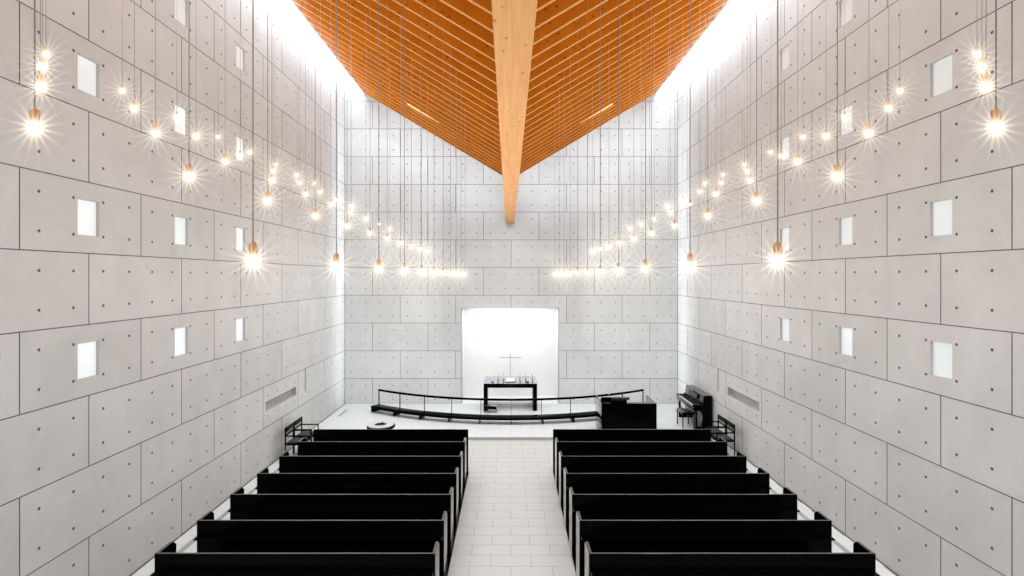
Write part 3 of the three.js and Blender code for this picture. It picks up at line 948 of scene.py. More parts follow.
class Repeater:
    """Lays copies of one part on points with a Geometry Nodes tree, then makes them a plain mesh."""

    TREE = "lay_out_copies"
    INPUTS = {
        "Geometry": "Geometry",
        "Part": "Object",
        "Finish": "Material",
        "Turn": "Float",
        "Seed": "Int",
    }
    NODES = {
        "given": "NodeGroupInput",
        "part": "GeometryNodeObjectInfo",
        "lay": "GeometryNodeInstanceOnPoints",
        "stretch": "GeometryNodeInputNamedAttribute",
        "turn": "FunctionNodeRandomValue",
        "spin": "ShaderNodeCombineXYZ",
        "tone": "FunctionNodeRandomValue",
        "store": "GeometryNodeStoreNamedAttribute",
        "realize": "GeometryNodeRealizeInstances",
        "paint": "GeometryNodeSetMaterial",
        "result": "NodeGroupOutput",
    }
    LINKS = (
        ("given", "Part", "part", "Object"),
        ("given", "Geometry", "lay", "Points"),
        ("part", "Geometry", "lay", "Instance"),
        ("stretch", "Attribute", "lay", "Scale"),
        ("given", "Turn", "turn", 3),
        ("given", "Seed", "turn", "Seed"),
        ("turn", 1, "spin", "Z"),
        ("spin", 0, "lay", "Rotation"),
        ("given", "Seed", "tone", "Seed"),
        ("lay", 0, "store", "Geometry"),
        ("tone", 1, "store", "Value"),
        ("store", 0, "realize", 0),
        ("realize", 0, "paint", "Geometry"),
        ("given", "Finish", "paint", "Material"),
        ("paint", 0, "result", 0),
    )

    @classmethod
    def tree(cls) -> bpy.types.NodeTree:
        """Returns the tree, built on its first use.

        Returns:
            A tree with named inputs for the part, its finish, its random turn and the seed.
        """
        found = bpy.data.node_groups.get(cls.TREE)
        if found is not None:
            return found
        tree = bpy.data.node_groups.new(cls.TREE, "GeometryNodeTree")
        for name, kind in cls.INPUTS.items():
            tree.interface.new_socket(name, in_out="INPUT", socket_type=f"NodeSocket{kind}")
        tree.interface.new_socket("Geometry", in_out="OUTPUT", socket_type="NodeSocketGeometry")
        nodes = {name: tree.nodes.new(kind) for name, kind in cls.NODES.items()}
        nodes["stretch"].data_type = "FLOAT_VECTOR"
        nodes["stretch"].inputs["Name"].default_value = "stretch"
        nodes["store"].domain = "INSTANCE"
        nodes["store"].inputs["Name"].default_value = "tone"
        for source, out, target, into in cls.LINKS:
            tree.links.new(nodes[source].outputs[out], nodes[target].inputs[into])
        return tree

    @classmethod
    def lay(
        cls,
        name: str,
        part: bpy.types.Mesh,
        places: Sequence[Point],
        finish: Finish,
        stretch: Sequence[Point] | None = None,
        turn: float = 0.0,
        seed: int = 1,
    ) -> bpy.types.Mesh:
        """Lays a part on every place.

        Args:
            name: The name of the result.
            part: The part's mesh, drawn round its own origin.
            places: Where each copy goes.
            finish: The finish of the copies.
            stretch: Scale of each copy, or None for full size.
            turn: Largest random turn about the upright axis, in radians.
            seed: Seed of the turns and tones.

        Returns:
            Plain mesh data with all the copies.
        """
        points = bpy.data.meshes.new(f"{name}_places")
        points.from_pydata([tuple(place) for place in places], [], [])
        scales = stretch or [(1.0, 1.0, 1.0)] * len(places)
        layer = points.attributes.new("stretch", "FLOAT_VECTOR", "POINT")
        layer.data.foreach_set("vector", [value for scale in scales for value in scale])
        carrier = new_object(f"{name}_places", points)
        source = new_object(f"{name}_part", part)
        modifier = carrier.modifiers.new("copies", "NODES")
        modifier.node_group = cls.tree()
        values = {"Part": source, "Finish": finish.material(), "Turn": turn, "Seed": seed}
        for item in cls.tree().interface.items_tree:
            if item.in_out == "INPUT" and item.name in values:
                modifier[item.identifier] = values[item.name]
        bpy.context.view_layer.update()
        data = evaluated_mesh(carrier)
        carrier.modifiers.remove(modifier)
        bpy.data.objects.remove(carrier)
        bpy.data.objects.remove(source)
        data.name = name
        return data

    @classmethod
    def piece(
        cls,
        name: str,
        part: Sketch,
        places: Sequence[Point],
        finish: Finish,
        bevel: float = 0.0,
        smooth: bool = False,
        **how: object,
    ) -> bpy.types.Object:
        """Lays a drawn part as lay does, and makes the result a piece of the hall."""
        data = cls.lay(name, part.data(f"{name}_part"), places, finish, **how)
        return dress(new_object(name, data), finish, bevel, smooth)


@dataclass
class PanelledWall:
    """One wall face laid with cast panels, staggered course by course, with tie holes."""

    name: str
    origin: Point
    along: Point
    outward: Point
    reach: Pair
    windows: Sequence[Pair] = ()
    niche: Point | None = None
    recess: Edges | None = None
    foot: float = 0.0
    joints: Pair = (1.0, 0.0)
    courses: int = 12
    course: float = 1.0
    length: float = 2.0
    shortest: float = 0.1
    gap: float = 0.014
    proud: float = 0.006
    tie_radius: float = 0.021
    tie_sides: int = 12
    tie_pitch: float = 0.5
    tie_clear: float = 0.03

    def spans(self, course: int) -> list[Pair]:
        """Finds where the panels of a course lie.

        Args:
            course: The course, counted from the floor.

        Returns:
            The start and end of every panel.
        """
        phase = self.joints[course % 2]
        first = math.floor((self.reach[0] - phase) / self.length)
        last = math.ceil((self.reach[1] - phase) / self.length)
        found = []
        for index in range(first, last):
            start = max(phase + index * self.length, self.reach[0])
            end = min(phase + (index + 1) * self.length, self.reach[1])
            if end - start > self.shortest:
                found.append((start, end))
        return found

    def outlines(self, start: float, end: float, low: float, high: float) -> list[list[Pair]]:
        """Returns the outlines of a panel, cut back round the niche.

        Args:
            start: The panel's start along the wall.
            end: Its end.
            low: Its lower edge.
            high: Its upper edge.

        Returns:
            The outlines of what is left of it.
        """
        whole = [[(start, low), (end, low), (end, high), (start, high)]]
        if self.niche is None:
            return whole
        left, right, top = self.niche
        if start >= right or end <= left or low >= top:
            return whole
        if high > top:
            left_cut, right_cut = max(start, left), min(end, right)
            outline = [(start, high)]
            if left_cut > start:
                outline += [(start, low), (left_cut, low), (left_cut, top)]
            else:
                outline.append((start, top))
            if right_cut < end:
                outline += [(right_cut, top), (right_cut, low), (end, low)]
            else:
                outline.append((end, top))
            return [[*outline, (end, high)]]
        found = []
        if start < left:
            found.append([(start, low), (left, low), (left, high), (start, high)])
        if end > right:
            found.append([(right, low), (end, low), (end, high), (right, high)])
        return found

    def holes(self, outline: Sequence[Pair]) -> list[list[Pair]]:
        """Returns the tie holes and the openings inside an outline.

        Args:
            outline: The panel's outline.

        Returns:
            The outline of each hole.
        """
        us, vs = zip(*outline)
        found = []
        for left, right, low, high in self.cuts():
            if min(us) < left and right < max(us) and min(vs) < low and high < max(vs):
                found.append([(left, low), (right, low), (right, high), (left, high)])
        clear = self.tie_radius + self.tie_clear
        u = math.floor(min(us)) + self.tie_pitch / 2
        while u < max(us) - clear:
            v = math.floor(min(vs)) + self.tie_pitch / 2
            while v < max(vs) - clear:
                if u > min(us) + clear and v > min(vs) + clear and self.clears_niche(u, v, clear):
                    found.append(circle(self.tie_radius, self.tie_sides, (u, v)))
                v += self.tie_pitch
            u += self.tie_pitch
        return found

    def cuts(self) -> list[Edges]:
        """Finds the openings in the face.

        Returns:
            The left, right, lower and upper edge of every window and of the recess.
        """
        width, height = WINDOW_HALF
        found = [(u - width, u + width, v - height, v + height) for u, v in self.windows]
        return [*found, self.recess] if self.recess else found

    def clears_niche(self, u: float, v: float, clear: float) -> bool:
        """Tells whether a tie hole keeps clear of the niche.

        Args:
            u: The hole's place along the wall.
            v: Its height.
            clear: How far from the niche it must stay.

        Returns:
            Whether it does.
        """
        if self.niche is None:
            return True
        left, right, top = self.niche
        return not (left - clear < u < right + clear and v < top + clear)

    def place(self, u: float, v: float, w: float) -> Vector:
        """Returns the point at a place on the wall, raised from its plane."""
        base = Vector(self.origin) + Vector(self.along) * u + Vector(UP) * (FLOOR_Z + v)
        return base + Vector(self.outward) * w

    def plate(self, work: bmesh.types.BMesh, outline: Sequence[Pair], tone: float) -> None:
        """Adds one panel with its holes and edges.

        Args:
            work: The mesh that takes the panel.
            outline: The panel's outline.
            tone: Its tone.
        """
        single = bmesh.new()
        layer = single.faces.layers.float.new("tone")
        edges = []
        for loop in (self.shrunk(outline), *self.holes(outline)):
            verts = [single.verts.new(self.place(u, v, self.proud)) for u, v in loop]
            for index, vert in enumerate(verts):
                edges.append(single.edges.new((vert, verts[(index + 1) % len(verts)])))
        bmesh.ops.triangle_fill(single, use_beauty=True, edges=edges)
        normal = Vector(self.outward)
        for face in single.faces:
            face.normal_update()
            if face.normal.dot(normal) < 0:
                face.normal_flip()
        rims = [edge for edge in single.edges if edge.is_boundary]
        grown = bmesh.ops.extrude_edge_only(single, edges=rims)["geom"]
        verts = [item for item in grown if isinstance(item, bmesh.types.BMVert)]
        bmesh.ops.translate(single, verts=verts, vec=-normal * self.proud)
        for face in single.faces:
            face[layer] = tone
        # Rims in the joints and tie holes are marked for painted shade; rims round the windows and the
        # recess keep the panel's tone.
        for item in grown:
            if isinstance(item, bmesh.types.BMFace) and not self.frames_cut(item.calc_center_median()):
                item[layer] = PAINTED_SHADE_TONE
        data = mesh_data("panel", single)
        work.from_mesh(data)
        bpy.data.meshes.remove(data)

    def frames_cut(self, point: Vector, near: float = 0.01) -> bool:
        """Tells whether a point lies on the edge of a window opening or of the recess.

        Args:
            point: The point.
            near: How near to the edge it may lie.

        Returns:
            Whether it does.
        """
        offset = point - Vector(self.origin)
        u, v = offset.dot(Vector(self.along)), offset.z - FLOOR_Z
        return any(a - near < u < b + near and c - near < v < d + near for a, b, c, d in self.cuts())

    def shrunk(self, outline: Sequence[Pair]) -> list[Pair]:
        """Returns an outline moved in by half a joint on every edge.

        Args:
            outline: The panel's outline.

        Returns:
            The smaller outline.
        """
        half = self.gap / 2
        made = []
        for index, (u, v) in enumerate(outline):
            shift_u, shift_v = 0.0, 0.0
            for other in (outline[index - 1], outline[(index + 1) % len(outline)]):
                if abs(other[1] - v) < 1e-6:
                    shift_v = half if self.solid_beyond(outline, u, v, False) else -half
                if abs(other[0] - u) < 1e-6:
                    shift_u = half if self.solid_beyond(outline, u, v, True) else -half
            made.append((u + shift_u, v + shift_v))
        return made

    @staticmethod
    def contains(outline: Sequence[Pair], u: float, v: float) -> bool:
        """Tells whether a point lies inside an outline.

        Args:
            outline: The outline.
            u: The point's place along the wall.
            v: Its height.

        Returns:
            Whether it does.
        """
        found = False
        for (u0, v0), (u1, v1) in zip(outline, [*outline[1:], outline[0]]):
            if (v0 > v) != (v1 > v) and u < (u1 - u0) * (v - v0) / (v1 - v0) + u0:
                found = not found
        return found

    def solid_beyond(self, outline: Sequence[Pair], u: float, v: float, upright: bool) -> bool:
        """Tells whether the panel lies above, or to the right of, the edge at a corner.

        Args:
            outline: The panel's outline.
            u: The corner's place along the wall.
            v: Its height.
            upright: Whether the edge stands upright, so that its right side is meant.

        Returns:
            Whether it does.
        """
        step = 0.004
        counts = []
        for beyond in (step, -step):
            spots = [(beyond, side) if upright else (side, beyond) for side in (-step, step)]
            counts.append(sum(self.contains(outline, u + du, v + dv) for du, dv in spots))
        over, under = counts
        return over > under if over + under == 1 else under < 2

    def build(self) -> bpy.types.Object:
        """Builds the face.

        Returns:
            The panelled face.
        """
        work = bmesh.new()
        work.faces.layers.float.new("tone")
        tones = random.Random(self.name)
        for course in range(self.courses):
            low = course * self.course - (self.foot if course == 0 else 0.0)
            high = (course + 1) * self.course
            for start, end in self.spans(course):
                tone = tones.random()
                for outline in self.outlines(start, end, low, high):
                    self.plate(work, outline, tone)
        return dress(new_object(self.name, mesh_data(self.name, work)), PANEL)


@dataclass
class Shell:
    """Walls, niche and windows of the hall."""

    bays: Sequence[float] = (7.0, 9.0, 11.0, 13.0, 15.0)
    rows: Sequence[float] = (3.5, 5.5, 7.5, 9.5)
    frame_bar: float = 0.022
    frame_depth: float = 0.05
    sill: Point = (0.15, 0.002, 0.018)
    sill_out: float = 0.265
    cover: float = 0.03
    lap: float = 0.02
    off: float = 0.008
    drop: float = 0.12
    inset: float = 0.155

    def build(self) -> None:
        """Builds and dresses the shell."""
        refinish(CORE, "side_wall_left", "side_wall_right")
        refinish(CORE, "end_wall_left", "end_wall_right", "end_wall_upper")
        refinish(RENDER, "niche_sill", "niche_shell")
        for side in Side:
            label = side.name.lower()
            refinish(OPAL[side], *(f"window_glass_{label}_{row + 1}" for row in range(len(self.rows))))
            self.side_faces(side, label)
        self.end_faces()
        self.frames()
        self.copings()
        self.niche_cap()

    def side_faces(self, side: Side, label: str) -> None:
        """Lays the panels on both faces of a side wall.

        Args:
            side: The side.
            label: The side's name in the nodes.
        """
        sign = side.value
        windows = [(-bay, row) for bay in self.bays for row in self.rows]
        faces = (
            ("inner", HALF_WIDTH, -sign, -CORNER_GAP, RECESS, 0.0),
            ("outer", HALF_WIDTH + WALL, sign, WALL, None, FLOOR_Z),
        )
        for face, x, outward, far, recess, foot in faces:
            PanelledWall(
                f"{face}_panels_{label}",
                (sign * x, END_Y, 0.0),
                (0, 1, 0),
                (outward, 0, 0),
                (OPEN_Y - END_Y, far),
                windows,
                recess=recess,
                foot=foot,
            ).build()

    def end_faces(self) -> None:
        """Lays the panels on both faces of the end wall."""
        niche = (*NICHE_X, NICHE_TOP_Z - FLOOR_Z)
        box = (NICHE_X[0] - NICHE_WALL, NICHE_X[1] + NICHE_WALL, NICHE_TOP_Z)
        faces = (
            ("inner", END_Y, -1, HALF_WIDTH - CORNER_GAP, niche, 0.0),
            ("outer", END_Y + WALL, 1, HALF_WIDTH + WALL, box, FLOOR_Z),
        )
        for face, y, outward, half, opening, foot in faces:
            PanelledWall(
                f"{face}_panels_end",
                (0.0, y, 0.0),
                (1, 0, 0),
                (0, outward, 0),
                (-half, half),
                niche=opening,
                foot=foot,
            ).build()

    def frames(self) -> None:
        """Sets a metal frame and a sill in each outer reveal."""
        width, height = WINDOW_HALF
        bar, deep = self.frame_bar, self.frame_depth
        part = Sketch()
        part.box((-deep, -width, -height), (0.0, -width + bar, height))
        part.box((-deep, width - bar, -height), (0.0, width, height))
        part.box((-deep, -width, height - bar), (0.0, width, height))
        part.box((-deep, -width, -height), (0.0, width, -height + bar))
        glass = {Side.LEFT: -(HALF_WIDTH + 0.08), Side.RIGHT: HALF_WIDTH + 0.13}
        spots = [(END_Y - bay, row) for bay in self.bays for row in self.rows]
        centres = [(side, y, FLOOR_Z, row) for side in Side for y, row in spots]
        places = [(glass[side], y, z + row) for side, y, z, row in centres]
        Repeater.piece("window_frames", part, places, FRAME)
        out, play, thick = self.sill
        sill = Sketch()
        sill.box((-out, -width + play, 0.0), (out, width - play, thick))
        middle = HALF_WIDTH + self.sill_out
        places = [(side.value * middle, y, z - height + row) for side, y, z, row in centres]
        Repeater.piece("window_sills", sill, places, ZINC)

    def copings(self) -> None:
        """Caps the wall tops with folded metal."""
        top, over, under = WALL_TOP_Z, WALL_TOP_Z + self.cover, WALL_TOP_Z - self.drop
        edge = END_Y + WALL
        sketch = Sketch()
        for side in Side:
            outer = side.value * (HALF_WIDTH + WALL + self.lap)
            low, high = sorted((outer, side.value * (HALF_WIDTH + self.inset)))
            sketch.box((low, OPEN_Y, top), (high, edge + self.lap, over))
            low, high = sorted((outer, side.value * (HALF_WIDTH + WALL + self.off)))
            sketch.box((low, OPEN_Y, under), (high, edge + self.lap, top))
        half = HALF_WIDTH + 0.15
        sketch.box((-half, END_Y + self.inset, top), (half, edge + self.lap, over))
        half = HALF_WIDTH + WALL
        sketch.box((-half, edge + self.off, under), (half, edge + self.lap, top))
        sketch.piece("wall_copings", ZINC, 0.003)

    def niche_cap(self) -> None:
        """Caps the niche box with folded metal."""
        left, right = NICHE_X[0] - NICHE_WALL, NICHE_X[1] + NICHE_WALL
        front, rear = END_Y + WALL + 0.01, NICHE_BACK_Y + NICHE_WALL
        top = NICHE_TOP_Z + NICHE_WALL
        out, low = 0.015, top - 0.08
        cap = Sketch()
        cap.box((left - out, front, top), (right + out, rear + self.off, top + 0.025))
        cap.box((left - out, rear, low), (right + out, rear + self.off, top))
        cap.box((left - out, front, low), (left - 0.003, rear, top))
        cap.box((right + 0.003, front, low), (right + out, rear, top))
        cap.piece("niche_cap", ZINC, 0.003)


@dataclass
class Floors:
    """Tiled floors, the channel beside each wall and a dark strip of painted shade at the wall's foot."""

    tile: Pair = (0.667, 0.322)
    narrowest: float = 0.03
    joint: float = 0.007
    thickness: float = 0.003
    phase_x: float = -0.05
    phase_s: float = 9.02
    platform: float = 3.755
    channel: Pair = (5.66 - 0.1 / 2, 5.66 + 0.1 / 2)
    grille: Pair = (1.64, 0.78)
    # Span of the painted shade strip at the wall's foot.
    line: Pair = (HALF_WIDTH - 0.026, HALF_WIDTH - 0.006)

    def rows(self, near: float, far: float) -> list[Point]:
        """Returns the rows of tiles between two distances from the end wall.

        Args:
            near: The nearer distance.
            far: The further distance.

        Returns:
            The start, end and sideways shift of each row.
        """
        found = []
        first = math.floor((near - self.phase_s) / self.tile[1])
        last = math.ceil((far - self.phase_s) / self.tile[1])
        for index in range(first, last):
            start = max(self.phase_s + index * self.tile[1], near)
            end = min(self.phase_s + (index + 1) * self.tile[1], far)
            if end - start > self.narrowest:
                found.append((start, end, self.tile[0] / 2 if index % 2 == 0 else 0.0))
        return found

    def lay(self, name: str, near: float, far: float, half: float, z: float) -> None:
        """Lays one tiled floor.

        Args:
            name: The floor's name.
            near: Its nearer distance from the end wall.
            far: Its further distance.
            half: Half its width.
            z: The level under the tiles.
        """
        unit = Sketch()
        unit.box((-0.5, -0.5, 0.0), (0.5, 0.5, 1.0))
        places: list[Point] = []
        scales: list[Point] = []
        for start, end, shift in self.rows(near, far):
            left = self.phase_x + shift - self.tile[0] * math.ceil((half + self.tile[0]) / self.tile[0])
            while left < half:
                low, high = max(left, -half), min(left + self.tile[0], half)
                if high - low > self.narrowest:
                    places.append(((low + high) / 2, END_Y - (start + end) / 2, z))
                    scales.append((high - low - self.joint, end - start - self.joint, self.thickness))
                left += self.tile[0]
        Repeater.piece(name, unit, places, TILE, stretch=scales, seed=5)

    def build(self) -> None:
        """Builds the floors."""
        refinish(BEDDING, "nave_floor", "chancel_platform")
        inner = HALF_WIDTH - 0.03
        self.lay("nave_tiles", self.platform + 0.002, END_Y - OPEN_Y, inner, FLOOR_Z)
        self.lay("platform_tiles", 0.012, self.platform, inner, PLATFORM_Z)
        edge = Sketch()
        step = from_end(self.platform)
        edge.box((-inner, step - 0.004, FLOOR_Z), (inner, step, PLATFORM_Z + self.thickness))
        edge.piece("platform_riser", RISER)
        strip = Sketch()
        line = Sketch()
        rise = self.thickness + 0.0015
        for side in Side:
            low, high = sorted(side.value * x for x in self.channel)
            strip.box((low, OPEN_Y, FLOOR_Z), (high, step - 0.01, FLOOR_Z + rise))
            near, far = (from_end(distance) for distance in self.grille)
            strip.box((low, near, PLATFORM_Z), (high, far, PLATFORM_Z + rise))
            # Painted shade: a dark strip on the floor stands in for the shadow in the gap at the wall's
            # foot.
            low, high = sorted(side.value * x for x in self.line)
            line.box((low, OPEN_Y, FLOOR_Z), (high, step - 0.005, FLOOR_Z + self.thickness))
            line.box((low, step, PLATFORM_Z), (high, END_Y - 0.012, PLATFORM_Z + self.thickness))
        strip.piece("floor_channels", CHANNEL)
        line.piece("wall_foot_lines", SHADOW_GAP)


@dataclass
class Roof:
    """Keel, rafters, rooflights and the roof's outer covering."""

    reach: Pair = (0.161, ROOF_HALF)
    sheet: float = 0.006
    rear: float = 0.225
    seam_pitch: float = 0.5
    bar_pitch: float = 1.0
    lamp_from_end: float = 2.42
    lamp_width: float = 0.1
    lamp_reach: Pair = (2.22, 3.20)
    lamp_lift: Pair = (0.02, 0.07)

    def build(self) -> None:
        """Builds and dresses the roof."""
        refinish(GLULAM, "keel_beam")
        for side in Side:
            label = side.name.lower()
            refinish(RAFTER, f"roof_slope_{label}")
            refinish(TRIM, f"roof_kerb_{label}")
            refinish(SKYLIGHT, f"rooflight_{label}", f"rooflight_end_{label}")
            self.covering(side.value, label)
            sketch = Sketch()
            y = from_end(self.lamp_from_end) - self.lamp_width / 2
            outline = self.band(side.value, self.lamp_reach, y, self.lamp_lift)
            sketch.prism(outline, (0.0, self.lamp_width, 0.0))
            sketch.piece(f"roof_lamp_{label}", ROOF_LAMP)
        self.bars()

    @staticmethod
    def band(sign: int, reach: Pair, y: float, lift: Pair) -> list[Point]:
        """Returns the cross-section of a flat band that follows a slope.

        Args:
            sign: The side's sign.
            reach: Its distances from the keel.
            y: Its place along the hall.
            lift: The heights of its two faces over the rafters' underside.

        Returns:
            Its four corners.
        """
        (near, far), (low, high) = reach, lift
        corners = ((near, low), (far, low), (far, high), (near, high))
        return [(AXIS_X + sign * out, y, slope_z(out) + up) for out, up in corners]

    def covering(self, sign: int, label: str) -> None:
        """Lays the sheet and its seams on one slope.

        Args:
            sign: The side's sign.
            label: The side's name.
        """
        lift = RAFTER_DEPTH + DECK
        run = from_end(self.rear) - OPEN_Y
        sheet = Sketch()
        sheet.prism(self.band(sign, self.reach, OPEN_Y, (lift, lift + self.sheet)), (0.0, run, 0.0))
        sheet.piece(f"roof_sheet_{label}", MEMBRANE)
        near, far = self.reach
        slope = math.atan(ROOF_RISE) * sign
        half = ((far - near) / math.cos(slope) - 0.04) / 2
        seam = Sketch()
        seam.box((-half, -0.009, 0.0), (half, 0.009, 0.035), Matrix.Rotation(-slope, 4, "Y"))
        middle = (near + far) / 2
        x, z = AXIS_X + sign * middle, slope_z(middle) + lift + 0.004
        count = int(run / self.seam_pitch)
        places = [(x, OPEN_Y + (index + 0.5) * self.seam_pitch, z) for index in range(count)]
        Repeater.piece(f"roof_seams_{label}", seam, places, MEMBRANE)

    def bars(self) -> None:
        """Sets the glazing bars over the rooflights."""
        kerb, outer, end = ROOF_HALF + 0.02, HALF_WIDTH + 0.15, 0.03
        half = (outer - AXIS_X - kerb) / 2 - 0.01
        bar = Sketch()
        bar.box((-half, -0.025, 0.0), (half, 0.025, 0.012))
        places = []
        for side in Side:
            middle = (AXIS_X + side.value * (kerb + outer)) / 2
            for index in range(int((END_Y - OPEN_Y) / self.bar_pitch) + 1):
                y = min(OPEN_Y + end + index * self.bar_pitch, END_Y - end)
                places.append((middle, y, WALL_TOP_Z + 0.0303))
        Repeater.piece("glazing_bars", bar, places, FRAME)


@dataclass
class Pendants:
    """Rows of bare bulbs on wooden sockets, hung by taut wires from the slopes."""

    centre_x: float = -0.057
    reaches: Sequence[float] = (1.085, 1.988, 2.90, 3.82, 4.715)
    levels: Sequence[float] = (4.94, 5.49, 6.037, 6.579, 7.13)
    first_y: float = -8.685
    pitch: float = 1.0
    count: int = 11
    wire: float = 0.003
    bulb: float = 0.0235
    socket: Pair = (0.0168, 0.055)
    socket_spin: float = 6.28
    core: Sequence[Pair] = ((0.006, -0.0115), (0.012, -0.006), (0.012, 0.006), (0.006, 0.0115))
    nearest_filament: float = 0.42
    filament_growth: float = 0.06

    def places(self) -> list[Point]:
        """Finds where the bulbs hang.

        Returns:
            The centre of every bulb.
        """
        found = []
        for side in Side:
            for reach, level in zip(self.reaches, self.levels):
                for index in range(self.count):
                    y = self.first_y + index * self.pitch
                    found.append((self.centre_x + side.value * reach, y, level))
        return found

    def build(self) -> None:
        """Builds bulbs, filaments, sockets and wires."""
        places = self.places()
        bulb = Sketch()
        angles = [math.pi * step / 8 for step in range(1, 8)]
        bulb.lathe([(self.bulb * math.sin(a), -self.bulb * math.cos(a)) for a in angles], sides=12)
        lit = Repeater.piece("pendant_bulbs", bulb, places, BULB, smooth=True)
        lit.visible_diffuse = False
        core = Sketch()
        core.lathe(self.core, sides=8)
        growth = self.filament_growth
        sizes = [(self.nearest_filament + growth * (y - self.first_y),) * 3 for _, y, _ in places]
        hot = Repeater.piece("pendant_filaments", core, places, FILAMENT, stretch=sizes, smooth=True)
        hot.visible_diffuse = False
        hot.visible_glossy = False
        radius, height = self.socket
        base = self.bulb * 0.72
        top = base + height
        socket = Sketch()
        outline = [
            (radius * 0.9, base),
            (radius, base + 0.004),
            (radius, top - 0.006),
            (radius * 0.75, top),
            (radius * 0.3, top + 0.006),
        ]
        socket.lathe(outline, sides=12)
        Repeater.piece("pendant_sockets", socket, places, SOCKET, smooth=True, turn=self.socket_spin)
        wire = Sketch()
        wire.lathe([(self.wire, 0.0), (self.wire, 1.0)], sides=6)
        starts = [(x, y, z + top) for x, y, z in places]
        drops = [(1.0, 1.0, slope_z(abs(x - AXIS_X)) + RAFTER_DEPTH - z) for x, _, z in starts]
        Repeater.piece("pendant_wires", wire, starts, WIRE, stretch=drops, smooth=True)


@dataclass
class Pews:
    """Two blocks of lacquered pews on their plinths."""

    rows: int = 6
    edge: float = 0.003
    plinth_edge: float = 0.004

    def build(self) -> None:
        """Rounds the edges of every pew."""
        for side in Side:
            label = side.name.lower()
            rounded(f"pew_plinth_{label}", PEW_LACQUER, self.plinth_edge)
            rounded(f"pew_screen_{label}", PEW_LACQUER, self.edge)
            for row in range(self.rows):
                rounded(f"pew_{label}_{row + 1}", PEW_LACQUER, self.edge)


